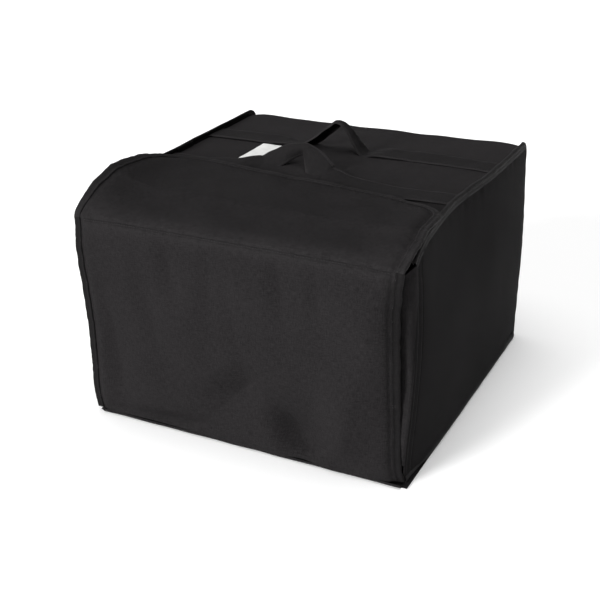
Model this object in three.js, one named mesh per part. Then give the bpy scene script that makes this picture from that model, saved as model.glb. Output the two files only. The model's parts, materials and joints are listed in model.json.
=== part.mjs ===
// Insulated pizza delivery bag: a padded cloth box that opens at the front.
// Its front flap is hinged along the floor, rises in front of the mouth, bends at a sewn crease
// and lies on the top as a rounded lid, which hook-and-loop strips hold.
// Units are millimetres. X runs left to right, Y from the front to the rear, Z up.
// The origin is the middle of the underside of the base.

import * as THREE from 'three';

// Overall sizes
const bagWidth = 450;
const bagDepth = 462;
const bagHeight = 306;

// Cloth, foam and lining
const cloth = 1.2;
const foam = 7;
const lining = 0.8;
const seam = 0.3; // clearance between sewn layers
const pinchRun = 18; // a padded panel thins to its bare cloths over this distance
const pinchedFoamShare = 0.35;
const foamSetback = 4; // a side's foam starts this far behind the thinned stretch

// Bound edges
const tape = 0.8;
const tapeWidth = 15;
const seamStand = 10; // how far a bound seam stands up from the cloth
const seamThickness = 4.5;
const pressedStand = 2.2; // the same seam where the lid presses it flat
const pressRun = 40;
const pressSteps = 4;
const baseTapeHeight = 11;
const baseTapeLift = 1.2;
const baseTapeThickness = 1.6;
const mouthTapeWidth = 9;

// Corners of the box
const rearTopRadius = 11;
const rearBaseRadius = 11;
const droopRadius = 110; // the top panel sinks towards the mouth
const droopRun = 56;
const droopSetback = 75; // from the front of the bag to where the droop starts
const arcSteps = 5;

// Front flap
const hingeInset = 4; // from the front of the bag to the hinge fold
const hingeGap = 2.2; // from the axis of a fold to the panels on each side of it
const flapInset = 5; // from the side of the bag to the edge of the flap
const creaseHeight = 291;
const creaseReach = 19; // the crease leans this far out over the hinge fold
const foldSides = 12;

// Lid, the part of the flap past the crease
const lidRear = -32; // where its rear edge lies along the depth
const lidCornerRadius = 70;
const lidCornerSteps = 12;
const slopeRun = 80; // the lid slopes up from the crease over this distance
const slopeRise = 3; // it first stands up from the crease by about this much
const slopeBendRun = 40; // and bends level over this distance
const slopeBendDrop = 9;
const slopeSteps = 8;
const curlHeight = 27; // the left edge of the lid stands up in an arch
const curlWidth = 78;

// Hook-and-loop closure
const loopThickness = 1.2;
const loopWidth = 50;
const loopLength = 100;
const loopSpacing = 220;
const loopSetback = 2; // from where the lid runs level to the front of the strips

// Side wings that close the corners of the mouth behind the flap
const wingThickness = 3;
const wingReach = 72;
const wingRadius = 10;
const wingBottom = 26;
const wingTop = 262;
const wingClearance = 1.5;
const wingTapeWidth = 9;
const sideSetback = 13; // the side's front edge at the floor, behind the front of the bag
const sideLean = 22; // how much further back that edge is at sideLeanHeight
const sideLeanHeight = 230;
const wingSteps = 6;

// Carrying straps
const strapWidth = 40;
const strapThickness = 2.5;
const strapSteps = 4;
const loopBaseHalf = 56; // a handle leaves the top this far from its middle
const gripHalf = 20;
const gripSteps = 6;
const legSteps = 6;
const rearStrapY = 102;
const rearLift = 34;
const rearTiltDegrees = -7;
const rearRollDegrees = 48; // the rear handle's front edge stands up
const frontStrapY = -24;
const frontLift = 36;
const frontTiltDegrees = 5;
const frontRollDegrees = 5;
const frontSkew = 26; // the front handle steps back to come out behind the lid
const skewRun = 30;

// Base board, label and tag
const boardThickness = 3;
const boardSideClearance = 10; // from the board to the lining of each side
const boardRearClearance = 1; // from the board to where the back starts to curve up
const boardFrontClearance = 21; // from the hinge fold to the board
const labelWidth = 50;
const labelLength = 76;
const labelThickness = 0.5;
const labelLeft = -127;
const tagLength = 40;
const tagHeight = 11;
const tagThickness = 0.8;
const tagFrontY = -3;

// Sizes that follow
const halfWidth = bagWidth / 2;
const frontY = -bagDepth / 2;
const clothTop = bagHeight - seamStand;
const clothRear = bagDepth / 2 - seamStand;
const fullHalf = foam / 2 + seam;
const midInset = fullHalf + cloth; // from a panel's face to its middle
const foamInset = cloth + seam;
const liningInset = foamInset + foam + seam;
const wrapHalf = halfWidth - cloth - seam;
const liningHalf = halfWidth - liningInset - lining - seam;
const foamHalf = halfWidth - liningInset;
const droopY = frontY + droopSetback;
const hingeY = frontY + hingeInset;
const hingeLift = midInset;
const flapHalf = halfWidth - flapInset;
const creaseY = hingeY - creaseReach;
const flapLength = Math.hypot(creaseReach, creaseHeight - hingeLift);
const flapLean = Math.atan2(creaseReach, creaseHeight - hingeLift);
const loopTop = clothTop + seam + loopThickness;
const lidUnderside = loopTop + seam + loopThickness + seam;
const lidMid = lidUnderside + lining + fullHalf;
const strapMid = clothTop + seam + strapThickness / 2;

// Colours
const blackCloth = { color: 0x242223, roughness: 0.82, metalness: 0 };
const blackTape = { color: 0x1d1b1c, roughness: 0.7, metalness: 0 };
const greyFoam = { color: 0xb9bcc0, roughness: 0.95, metalness: 0 };
const silverLining = { color: 0xa9adb2, roughness: 0.42, metalness: 0.35 };
const blackHook = { color: 0x161516, roughness: 0.95, metalness: 0 };
const whiteLabel = { color: 0xe9e9e7, roughness: 0.6, metalness: 0 };
const greyBoard = { color: 0x3a3b3d, roughness: 0.6, metalness: 0 };

const bag = new THREE.Group();

const vec = (x, y, z) => new THREE.Vector3(x, y, z);
const mix = (from, to, share) => from + (to - from) * share;
const ease = (share) => share * share * (3 - 2 * share);
const radians = THREE.MathUtils.degToRad;

// Evenly spaced values from one end to the other, both included
function spread(from, to, steps) {
  return Array.from({ length: steps + 1 }, (_, i) => mix(from, to, i / steps));
}

function addPiece(name, geometry, look) {
  const mesh = new THREE.Mesh(geometry, new THREE.MeshStandardMaterial(look));
  mesh.name = name;
  bag.add(mesh);
  return mesh;
}

// The closed solid between two sheets of points in the same rows and columns
function slab(upper, lower) {
  const rows = upper.length;
  const cols = upper[0].length;
  const points = [...upper.flat(), ...lower.flat()];
  const top = (r, c) => r * cols + c;
  const under = (r, c) => rows * cols + top(r, c);
  const corners = [];
  const quad = (a, b, c, d) => corners.push(a, b, c, a, c, d);
  for (let r = 0; r + 1 < rows; r++) {
    for (let c = 0; c + 1 < cols; c++) {
      quad(top(r, c), top(r, c + 1), top(r + 1, c + 1), top(r + 1, c));
      quad(under(r, c), under(r + 1, c), under(r + 1, c + 1), under(r, c + 1));
    }
    quad(top(r, 0), top(r + 1, 0), under(r + 1, 0), under(r, 0));
    quad(top(r, cols - 1), under(r, cols - 1), under(r + 1, cols - 1), top(r + 1, cols - 1));
  }
  for (let c = 0; c + 1 < cols; c++) {
    quad(top(0, c), under(0, c), under(0, c + 1), top(0, c + 1));
    quad(top(rows - 1, c), top(rows - 1, c + 1), under(rows - 1, c + 1), under(rows - 1, c));
  }
  return facingOut(points, corners);
}

// A geometry from points and corner indices, turned over if its faces point in
function facingOut(points, corners) {
  let volume = 0;
  for (let i = 0; i < corners.length; i += 3) {
    const [a, b, c] = [points[corners[i]], points[corners[i + 1]], points[corners[i + 2]]];
    volume += a.dot(vec(0, 0, 0).crossVectors(b, c));
  }
  const geometry = new THREE.BufferGeometry();
  geometry.setAttribute('position', new THREE.Float32BufferAttribute(points.flatMap((p) => p.toArray()), 3));
  geometry.setIndex(volume < 0 ? [...corners].reverse() : corners);
  geometry.computeVertexNormals();
  return geometry;
}

// A box given by its two corners
function block(low, high) {
  const size = high.clone().sub(low);
  const geometry = new THREE.BoxGeometry(size.x, size.y, size.z);
  const middle = low.clone().add(high).multiplyScalar(0.5);
  return geometry.translate(middle.x, middle.y, middle.z);
}

// Where the three layers of a padded panel lie off its middle; pad is 0 at a seam and 1 at full foam
const layers = {
  cloth: (pad) => [mix(seam / 2, fullHalf, pad) + cloth, mix(seam / 2, fullHalf, pad)],
  foam: (pad) => [mix(seam / 2, fullHalf, pad) - seam, seam - mix(seam / 2, fullHalf, pad)],
  lining: (pad) => [-mix(seam / 2, fullHalf, pad), -mix(seam / 2, fullHalf, pad) - lining],
};

// One layer of a padded panel. Each station is { at, out, pad }: a point of the panel's middle,
// the way out and the padding there
function layerSlab(layer, stations) {
  const face = (side) => stations.map((row) =>
    row.map((s) => s.at.clone().addScaledVector(s.out, layers[layer](s.pad)[side])));
  return slab(face(0), face(1));
}

// Padding at a distance from a sewn edge that lies bare for the first part
function padAt(distance, bare = 0) {
  return Math.min(1, Math.max(0, (distance - bare) / pinchRun));
}

// Body: the outline of the box seen from the side, at an inset from its outer face
function outlineParts(inset) {
  const arc = (y, z, radius, from, to) => spread(radians(from), radians(to), arcSteps).map((angle) => ({
    at: vec(0, y + (radius - inset) * Math.cos(angle), z + (radius - inset) * Math.sin(angle)),
    out: vec(0, Math.cos(angle), Math.sin(angle)),
  }));
  const droopEnd = 90 + THREE.MathUtils.radToDeg(Math.asin(droopRun / droopRadius));
  return {
    droop: arc(droopY, clothTop - droopRadius, droopRadius, droopEnd, 90),
    rearTop: arc(clothRear - rearTopRadius, clothTop - rearTopRadius, rearTopRadius, 90, 0),
    rearBase: arc(clothRear - rearBaseRadius, rearBaseRadius, rearBaseRadius, 0, -90),
  };
}

const middleLine = outlineParts(midInset);

// Stations of the top, back and base across the bag, out to the half width given
function wrapStations(line, half, padOf) {
  return line.map((p, i) => [-half, half].map((x) => ({
    at: vec(x, p.at.y, p.at.z), out: p.out, pad: padOf(i),
  })));
}

// The top panel's line starts at the mouth, where its first stretch is sewn thin and bound
const fromMouth = (i) => middleLine.droop[i].at.distanceTo(middleLine.droop[0].at);
const mouthBare = fromMouth(1);
const topPad = (i) => (i < arcSteps ? padAt(fromMouth(i), mouthBare) : 1);

// The base runs forward to the hinge fold
function baseLine() {
  const front = hingeY + hingeGap;
  const run = [middleLine.rearBase[arcSteps].at.y - seam, front + pinchRun, front + pinchRun / 2, front];
  return run.map((y) => ({ at: vec(0, y, midInset), out: vec(0, 0, -1), pad: padAt(y - front) }));
}

function addShell() {
  const { droop, rearTop, rearBase } = middleLine;
  const full = () => 1;
  const wrap = [...droop, ...rearTop, ...rearBase];
  addPiece('top_back_cloth', layerSlab('cloth', wrapStations(wrap, wrapHalf, topPad)), blackCloth);
  addPiece('top_back_lining', layerSlab('lining', wrapStations(wrap, liningHalf, topPad)), silverLining);
  const top = [...droop.slice(2), ...rearTop.slice(0, -1)];
  addPiece('top_foam', layerSlab('foam', wrapStations(top, foamHalf, (i) => topPad(i + 2))), greyFoam);
  const back = [rearTop[arcSteps], rearBase[0]];
  addPiece('back_foam', layerSlab('foam', wrapStations(back, foamHalf, full)), greyFoam);
  const base = baseLine();
  const basePad = (i) => base[i].pad;
  addPiece('base_cloth', layerSlab('cloth', wrapStations(base, wrapHalf, basePad)), blackCloth);
  addPiece('base_lining', layerSlab('lining', wrapStations(base, liningHalf, basePad)), silverLining);
  addPiece('base_foam', layerSlab('foam', wrapStations(base.slice(0, -1), foamHalf, basePad)), greyFoam);
}

// Body: the side panels, outlined by rows of constant height
const sideFront = (z) => frontY + sideSetback + (z / sideLeanHeight) * sideLean;

// Front and rear limits of a side panel at a height, at an inset from the outline of the box
function sideLimits(z, inset) {
  const cut = (centreY, centreZ, radius, sign) =>
    centreY + sign * Math.sqrt(Math.max(0, (radius - inset) ** 2 - (z - centreZ) ** 2));
  let rear = clothRear - inset;
  if (z > clothTop - rearTopRadius) {
    rear = cut(clothRear - rearTopRadius, clothTop - rearTopRadius, rearTopRadius, 1);
  } else if (z < rearBaseRadius) {
    rear = cut(clothRear - rearBaseRadius, rearBaseRadius, rearBaseRadius, 1);
  }
  const droopZ = clothTop - droopRadius;
  const droopFront = z > droopZ ? cut(droopY, droopZ, droopRadius, -1) : frontY;
  return [Math.max(sideFront(z), droopFront), rear];
}

// Heights at which the side outline turns, from an inset above the floor to the same inset below the top
function sideHeights(inset) {
  const turn = (share) => 1 - Math.cos(share * Math.PI / 2);
  const low = spread(0, 1, arcSteps).map((s) => inset + (rearBaseRadius - inset) * turn(s));
  const high = spread(1, 0, arcSteps).map((s) => clothTop - inset - (rearTopRadius - inset) * turn(s));
  return low.concat(high);
}

// The side thins towards the mouth from within, so that its cloth stays flat
function sideStations(sign, inset) {
  return sideHeights(inset).map((z) => {
    const [front, rear] = sideLimits(z, inset);
    const pinch = sideFront(z);
    const runs = [0, pinchRun / 2, pinchRun, pinchRun + foamSetback];
    return [...runs.map((run) => Math.max(front, pinch + run)), rear].map((y) => {
      const pad = padAt(y - pinch);
      const middle = halfWidth - cloth - mix(seam / 2, fullHalf, pad);
      return { at: vec(sign * middle, y, z), out: vec(sign, 0, 0), pad };
    });
  });
}

function addSide(side, sign) {
  addPiece(`side_cloth_${side}`, layerSlab('cloth', sideStations(sign, 0)), blackCloth);
  const board = sideStations(sign, foamInset).map((row) => row.slice(3));
  addPiece(`side_foam_${side}`, layerSlab('foam', board), greyFoam);
  addPiece(`side_lining_${side}`, layerSlab('lining', sideStations(sign, liningInset)), silverLining);
}

// Body: the bound seam that stands up along the top and down the back of a side
const pressStart = lidRear - lidCornerRadius / 2;

function seamLine() {
  const { droop, rearTop, rearBase } = outlineParts(-seam);
  const pressing = spread(pressStart - pressRun, pressStart, pressSteps).map((y) => ({
    at: vec(0, y, clothTop + seam), out: vec(0, 0, 1),
  }));
  return [...droop, ...pressing, ...rearTop, rearBase[0]];
}

// How far the bound seam stands up: the lid presses its front part down
function standAt(point) {
  const pressed = Math.min(1, Math.max(0, (pressStart - point.y) / pressRun));
  return mix(seamStand, pressedStand, ease(pressed)) - seam;
}

function addSeamBinding(side, sign) {
  const faceAt = (x) => seamLine().map((p) => [0, 1].map((foot) =>
    vec(sign * x, p.at.y, p.at.z).addScaledVector(p.out, foot * standAt(p.at))));
  addPiece(`seam_binding_${side}`, slab(faceAt(halfWidth), faceAt(halfWidth - seamThickness)), blackTape);
  const low = vec(halfWidth + seam, sideFront(0), baseTapeLift);
  const high = vec(low.x + baseTapeThickness, clothRear - rearBaseRadius, baseTapeLift + baseTapeHeight);
  const strip = block(low, high);
  if (sign < 0) strip.rotateZ(Math.PI).translate(0, low.y + high.y, 0);
  addPiece(`base_binding_${side}`, strip, blackTape);
}

// A tape folded over a sewn edge: a channel with two legs, swept through { edge, inward, out }
function channel(line, halfSlot, legLength) {
  const section = (grow, s) => {
    const half = halfSlot + grow;
    const corner = (run, off) => s.edge.clone().addScaledVector(s.inward, run).addScaledVector(s.out, off);
    const back = -seam - grow;
    return [
      corner(legLength, half), corner(legLength / 2, half), corner(back, half),
      corner(back, -half), corner(legLength / 2, -half), corner(legLength, -half),
    ];
  };
  return slab(line.map((s) => section(tape, s)), line.map((s) => section(0, s)));
}

const tapeSlotHalf = seam / 2 + cloth + seam;

function addMouthBinding() {
  const lip = middleLine.droop[0];
  const inward = middleLine.droop[1].at.clone().sub(lip.at).normalize();
  const line = [-wrapHalf, wrapHalf].map((x) => ({ edge: lip.at.clone().setX(x), inward, out: lip.out }));
  addPiece('mouth_binding', channel(line, tapeSlotHalf + seam, mouthTapeWidth), blackTape);
}

// Front flap: distances up from the hinge fold, in the plane that leans out to the crease
const flapUp = vec(0, -Math.sin(flapLean), Math.cos(flapLean));
const flapOut = vec(0, -Math.cos(flapLean), -Math.sin(flapLean));
const hingeFold = vec(0, hingeY, hingeLift);
const creaseFold = vec(0, creaseY, creaseHeight);
const flapPoint = (x, up) => hingeFold.clone().addScaledVector(flapUp, up).setX(x);

const bareEdge = tapeWidth + 2 * seam;
const acrossPanel = [0, bareEdge / 2, bareEdge, bareEdge + pinchRun / 2, bareEdge + pinchRun];

function flapStations() {
  const ups = [hingeGap, pinchRun / 2, pinchRun, flapLength - pinchRun, flapLength - pinchRun / 2,
    flapLength - hingeGap];
  return ups.map((up) => {
    const rise = padAt(Math.min(up, flapLength - up) - hingeGap);
    const half = flapHalf - tape - seam;
    const columns = acrossPanel.map((inset) => half - inset);
    return [...columns.map((x) => -x), ...columns.reverse()].map((x) => ({
      at: flapPoint(x, up), out: flapOut, pad: Math.min(rise, padAt(half - Math.abs(x), bareEdge)),
    }));
  });
}

// The foam of a padded panel starts where the cloths have opened enough to hold it
function foamStations(stations) {
  const opened = (s) => s.pad >= pinchedFoamShare;
  return stations.filter((row) => row.some(opened)).map((row) => row.filter(opened));
}

function addFlap() {
  const stations = flapStations();
  addPiece('flap_cloth', layerSlab('cloth', stations), blackCloth);
  addPiece('flap_foam', layerSlab('foam', foamStations(stations)), greyFoam);
  addPiece('flap_lining', layerSlab('lining', stations), silverLining);
  for (const [side, sign] of [['left', -1], ['right', 1]]) {
    const line = [2 * hingeGap, flapLength - 2 * hingeGap].map((up) => ({
      edge: flapPoint(sign * (flapHalf - tape - seam), up), inward: vec(-sign, 0, 0), out: flapOut,
    }));
    addPiece(`flap_binding_${side}`, channel(line, tapeSlotHalf, tapeWidth), blackTape);
  }
}

// Lid: its middle rises from the crease, slopes back and then runs level to the rear edge
const slopeCurve = (() => {
  const start = creaseFold.clone().addScaledVector(flapUp, hingeGap);
  const rise = start.clone().addScaledVector(flapUp, slopeRise);
  const end = vec(0, start.y + slopeRun, lidMid);
  const bend = vec(0, end.y - slopeBendRun, lidMid - slopeBendDrop);
  return new THREE.CubicBezierCurve3(start, rise, bend, end);
})();
const slopeLength = slopeCurve.getLength();
const slopeEnd = slopeCurve.getPoint(1);
const lidLength = slopeLength + (lidRear - tape - seam - slopeEnd.y);

function lidPlace(along) {
  if (along >= slopeLength) {
    return { at: vec(0, slopeEnd.y + along - slopeLength, lidMid), out: vec(0, 0, 1) };
  }
  const share = along / slopeLength;
  const ahead = slopeCurve.getTangentAt(share);
  return { at: slopeCurve.getPointAt(share), out: vec(0, -ahead.z, ahead.y) };
}

// Half width of the lid at a distance along it, at an inset from its rounded edge
function lidHalf(along, inset) {
  const radius = lidCornerRadius - inset;
  const past = along - (lidLength - lidCornerRadius);
  const straight = flapHalf - tape - seam - inset;
  if (past <= 0) return straight;
  return straight - radius + Math.sqrt(Math.max(0, radius ** 2 - past ** 2));
}

// Rows of the lid from the crease to the rear edge, closer together round the corners
function lidRows() {
  const start = lidLength - lidCornerRadius;
  const angles = spread(0, Math.PI / 2, lidCornerSteps);
  const corner = angles.map((angle) => start + lidCornerRadius * Math.sin(angle));
  const hem = [lidLength - bareEdge - pinchRun, lidLength - bareEdge];
  const rows = [...spread(0, slopeLength, slopeSteps), ...hem, ...corner];
  return rows.sort((a, b) => a - b);
}

// Distance from a point of the lid to its side or rear edge, round the corners as well
function edgeDistance(x, along) {
  const straight = flapHalf - tape - seam;
  const overX = Math.abs(x) - (straight - lidCornerRadius);
  const overY = along - (lidLength - lidCornerRadius);
  if (overX > 0 && overY > 0) return lidCornerRadius - Math.hypot(overX, overY);
  return Math.min(straight - Math.abs(x), lidLength - along);
}

// The right half's columns in a row follow the edge at fixed insets, then stand where the curl starts
function lidColumns(along) {
  const atInset = acrossPanel.map((inset) => lidHalf(Math.min(along, lidLength - inset), inset));
  const curlStart = flapHalf - curlWidth;
  const inner = [mix(atInset.at(-1), curlStart, 0.5), curlStart];
  return [...atInset, ...inner.map((x) => Math.min(x, atInset.at(-1)))];
}

function lidStations() {
  return lidRows().map((along) => {
    const place = lidPlace(along);
    const columns = lidColumns(along);
    return [...columns.map((x) => -x), ...columns.reverse()].map((x) => {
      const pad = Math.min(padAt(along), padAt(edgeDistance(x, along), bareEdge));
      return { at: place.at.clone().setX(x), out: place.out, pad };
    });
  });
}

// The left edge of the lid stands up: each point is raised by its place across and along the lid
function curled(geometry) {
  const position = geometry.attributes.position;
  for (let i = 0; i < position.count; i++) {
    const across = Math.min(1, Math.max(0, (curlWidth - flapHalf - position.getX(i)) / curlWidth));
    const along = Math.min(1, Math.max(0, (position.getY(i) - creaseY) / (lidRear - creaseY)));
    position.setZ(i, position.getZ(i) + curlHeight * across ** 2 * Math.sin(along * Math.PI));
  }
  geometry.computeVertexNormals();
  return geometry;
}

function addLid() {
  const stations = lidStations();
  addPiece('lid_cloth', curled(layerSlab('cloth', stations)), blackCloth);
  addPiece('lid_foam', curled(layerSlab('foam', foamStations(stations))), greyFoam);
  addPiece('lid_lining', curled(layerSlab('lining', stations)), silverLining);
  addPiece('lid_binding', curled(channel(lidEdgeLine(), tapeSlotHalf + seam, tapeWidth)), blackTape);
}

// The lid's edge from the left of the crease round the rear to the right of the crease
function lidEdgeLine() {
  const straight = flapHalf - tape - seam;
  const side = spread(hingeGap, slopeLength, slopeSteps).map((along) => {
    const place = lidPlace(along);
    return { edge: place.at.clone().setX(straight), inward: vec(-1, 0, 0), out: place.out };
  });
  const centre = lidPlace(lidLength - lidCornerRadius).at.clone().setX(straight - lidCornerRadius);
  const corner = spread(0, Math.PI / 2, lidCornerSteps).map((angle) => {
    const away = vec(Math.cos(angle), Math.sin(angle), 0);
    const edge = centre.clone().addScaledVector(away, lidCornerRadius);
    return { edge, inward: away.negate(), out: vec(0, 0, 1) };
  });
  const right = [...side, ...corner];
  const mirror = (v) => vec(-v.x, v.y, v.z);
  const left = right.map((s) => ({ edge: mirror(s.edge), inward: mirror(s.inward), out: s.out }));
  return [...left, ...right.reverse()];
}

// A fold is a roll of bare cloth on the axis that its two panels turn about
function foldRoll(name, fold, half) {
  const roll = new THREE.CylinderGeometry(hingeGap - seam, hingeGap - seam, 2 * half, foldSides);
  addPiece(name, roll.rotateZ(Math.PI / 2).translate(0, fold.y, fold.z), blackCloth);
}

// Hook-and-loop strips: the loops on the top panel, the hooks under the lid
function addClosure(side, sign) {
  const front = slopeEnd.y + loopSetback;
  const strip = (bottom) => block(
    vec(sign * loopSpacing / 2 - loopWidth / 2, front, bottom),
    vec(sign * loopSpacing / 2 + loopWidth / 2, front + loopLength, bottom + loopThickness),
  );
  addPiece(`closure_loop_${side}`, strip(clothTop + seam), blackHook);
  addPiece(`closure_hook_${side}`, strip(loopTop + seam), blackHook);
}

// Wings: each is hinged along the front edge of a side, which leans back as it rises
const wingLean = Math.atan2(sideLean, sideLeanHeight);
const wingAxis = vec(0, Math.sin(wingLean), Math.cos(wingLean));
const wingForward = vec(0, -Math.cos(wingLean), Math.sin(wingLean));
const wingHinge = (sign) => vec(sign * (halfWidth - wingThickness / 2), frontY + sideSetback - hingeGap, 0);

// How far forward of its hinge a wing turns in, so that it lies behind the flap
function wingRun(up) {
  const behind = lining + fullHalf + wingClearance + wingThickness / 2;
  const start = wingHinge(1).addScaledVector(wingAxis, up).sub(hingeFold);
  return (behind + start.dot(flapOut)) * -1 / wingForward.dot(flapOut);
}

// The wing's section at a height: forward from the hinge, round a bend and in behind the flap
function wingSection(up, from) {
  const run = wingRun(up);
  const radius = Math.min(wingRadius, run - hingeGap - seam);
  const bend = spread(0, Math.PI / 2, arcSteps).map((angle) => ({
    ahead: run - radius + radius * Math.sin(angle),
    in: radius - radius * Math.cos(angle),
    away: [Math.sin(angle), Math.cos(angle)],
  }));
  const hinge = { ahead: hingeGap, in: 0, away: [0, 1] };
  const tip = { ahead: run, in: wingReach, away: [1, 0] };
  return from === 'tip' ? tip : [hinge, ...bend, tip];
}

function wingPoint(sign, up, s, off) {
  return wingHinge(sign).addScaledVector(wingAxis, up)
    .addScaledVector(wingForward, s.ahead + off * s.away[0])
    .add(vec(-sign * (s.in - off * s.away[1]), 0, 0));
}

function addWing(side, sign) {
  const ups = spread(wingBottom, wingTop, wingSteps);
  const face = (off) => ups.map((up) => wingSection(up).map((s) => wingPoint(sign, up, s, off)));
  addPiece(`wing_${side}`, slab(face(wingThickness / 2), face(-wingThickness / 2)), blackCloth);
  const line = ups.map((up) => {
    const tip = wingSection(up, 'tip');
    return { edge: wingPoint(sign, up, tip, 0), inward: vec(sign, 0, 0), out: wingForward };
  });
  addPiece(`wing_binding_${side}`, channel(line, wingThickness / 2 + seam, wingTapeWidth), blackTape);
}

// Straps: a flat end at each seam and, in the middle, two legs and a grip that stand up as a handle
function strapSlab(centres) {
  const face = (side) => centres.map((s, i) => {
    const before = centres[Math.max(0, i - 1)].at;
    const after = centres[Math.min(centres.length - 1, i + 1)].at;
    const up = vec(0, 0, 0).crossVectors(after.clone().sub(before), s.across).normalize();
    return [-0.5, 0.5].map((share) => s.at.clone()
      .addScaledVector(s.across, share * strapWidth).addScaledVector(up, side * strapThickness / 2));
  });
  return slab(face(1), face(-1));
}

// A handle's middle line at a place across the bag
function handlePlace(strap, x) {
  const share = Math.min(1, Math.abs(x) / loopBaseHalf);
  const rise = (1 + Math.cos(share * Math.PI)) / 2;
  const tilt = radians(strap.tiltDegrees);
  const roll = radians(strap.rollDegrees) * rise;
  const skew = strap.skew * ease(1 - Math.min(1, Math.max(0, (Math.abs(x) - loopBaseHalf) / skewRun)));
  const up = strap.lift * rise;
  return {
    at: vec(x, strap.y + skew + up * Math.sin(tilt), strapMid + up * Math.cos(tilt)),
    across: vec(0, Math.cos(roll), -Math.sin(roll)),
  };
}

function addStrap(strap) {
  const strapEnd = halfWidth - seamThickness - seam;
  const flatEnd = loopBaseHalf + (strap.skew ? skewRun : 0);
  const part = (from, to, steps) => strapSlab(spread(from, to, steps).map((x) => handlePlace(strap, x)));
  for (const [side, sign] of [['left', -1], ['right', 1]]) {
    addPiece(`${strap.name}_strap_${side}`, part(sign * strapEnd, sign * flatEnd, strapSteps), blackTape);
    addPiece(`${strap.name}_leg_${side}`,
      part(sign * (flatEnd - 2 * seam), sign * (gripHalf + 2 * seam), legSteps), blackTape);
  }
  addPiece(`${strap.name}_grip`, part(-gripHalf, gripHalf, gripSteps), blackTape);
}

function addFurnishings() {
  const boardBottom = 2 * midInset - cloth + lining + seam;
  const boardHalf = liningHalf - boardSideClearance;
  const boardRear = clothRear - rearBaseRadius - boardRearClearance;
  addPiece('base_board', block(
    vec(-boardHalf, hingeY + boardFrontClearance, boardBottom),
    vec(boardHalf, boardRear, boardBottom + boardThickness),
  ), greyBoard);
  const labelRear = rearStrapY - strapWidth / 2 - seam;
  addPiece('label', block(
    vec(labelLeft, labelRear - labelLength, clothTop + seam),
    vec(labelLeft + labelWidth, labelRear, clothTop + seam + labelThickness),
  ), whiteLabel);
  const tagX = -halfWidth + seamThickness + seam;
  addPiece('seam_tag', block(
    vec(tagX, tagFrontY, clothTop + seam),
    vec(tagX + tagThickness, tagFrontY + tagLength, clothTop + seam + tagHeight),
  ), blackTape);
}

addShell();
for (const [side, sign] of [['left', -1], ['right', 1]]) {
  addSide(side, sign);
  addSeamBinding(side, sign);
  addWing(side, sign);
  addClosure(side, sign);
}
addMouthBinding();
addFlap();
addLid();
foldRoll('hinge_fold', hingeFold, wrapHalf);
foldRoll('crease_fold', creaseFold, flapHalf - tape - seam);
addStrap({
  name: 'front', y: frontStrapY, lift: frontLift, tiltDegrees: frontTiltDegrees,
  rollDegrees: frontRollDegrees, skew: frontSkew,
});
addStrap({
  name: 'rear', y: rearStrapY, lift: rearLift, tiltDegrees: rearTiltDegrees,
  rollDegrees: rearRollDegrees, skew: 0,
});
addFurnishings();

export default bag;
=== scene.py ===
# Insulated pizza delivery bag of black woven cloth, shown closed on a pale floor.
# Shapes are worked out in millimetres and turned into metres when a mesh is made.
# X runs left to right, Y from the front to the rear, Z up.

import json
import math

import bpy
import numpy as np
from mathutils import Matrix, Vector


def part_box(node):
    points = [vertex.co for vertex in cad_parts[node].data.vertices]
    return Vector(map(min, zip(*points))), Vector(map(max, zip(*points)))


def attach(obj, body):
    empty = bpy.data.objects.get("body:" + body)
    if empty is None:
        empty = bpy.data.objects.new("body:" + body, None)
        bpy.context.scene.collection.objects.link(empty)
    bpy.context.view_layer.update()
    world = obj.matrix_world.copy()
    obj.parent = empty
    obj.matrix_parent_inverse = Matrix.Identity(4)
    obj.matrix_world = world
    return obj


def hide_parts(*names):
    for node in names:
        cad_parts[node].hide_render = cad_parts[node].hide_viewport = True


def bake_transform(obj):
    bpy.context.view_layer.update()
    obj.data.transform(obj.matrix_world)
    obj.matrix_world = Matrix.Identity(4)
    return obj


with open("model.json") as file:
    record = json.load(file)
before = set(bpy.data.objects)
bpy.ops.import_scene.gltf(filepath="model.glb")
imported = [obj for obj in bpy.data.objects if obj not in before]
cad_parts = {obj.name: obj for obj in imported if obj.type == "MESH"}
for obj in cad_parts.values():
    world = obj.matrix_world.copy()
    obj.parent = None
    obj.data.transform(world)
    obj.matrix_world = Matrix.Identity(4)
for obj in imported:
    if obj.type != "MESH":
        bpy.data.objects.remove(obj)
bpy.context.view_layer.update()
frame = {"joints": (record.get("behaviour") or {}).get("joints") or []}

MM = 0.001
TURN = 2 * math.pi

# Camera, fitted to the photograph's frame of 600 by 600 pixels
IMAGE_PX = 600
FOCAL_PX = 1090.2
SENSOR_MM = 36
EYE = (608.7, -1252.9, 760.1)
YAW_DEGREES = 27.05
PITCH_DEGREES = 24.97
ROLL_DEGREES = -1.15


def placed(name, data):
    """A new object of the scene"""
    made = bpy.data.objects.new(name, data)
    bpy.context.scene.collection.objects.link(made)
    return made


def add_camera():
    yaw, pitch, roll = (math.radians(a) for a in (YAW_DEGREES, PITCH_DEGREES, ROLL_DEGREES))
    ahead = Vector((-math.sin(yaw) * math.cos(pitch), math.cos(yaw) * math.cos(pitch), -math.sin(pitch)))
    level = Vector((math.cos(yaw), math.sin(yaw), 0))
    upright = level.cross(ahead)
    right = level * math.cos(roll) + upright * math.sin(roll)
    up = upright * math.cos(roll) - level * math.sin(roll)
    camera = placed("camera", bpy.data.cameras.new("camera"))
    camera.data.sensor_width = SENSOR_MM
    camera.data.lens = FOCAL_PX * SENSOR_MM / IMAGE_PX
    turned = Matrix((right, up, -ahead)).transposed().to_4x4()
    camera.matrix_world = Matrix.Translation(Vector(EYE) * MM) @ turned
    bpy.context.scene.camera = camera


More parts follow.
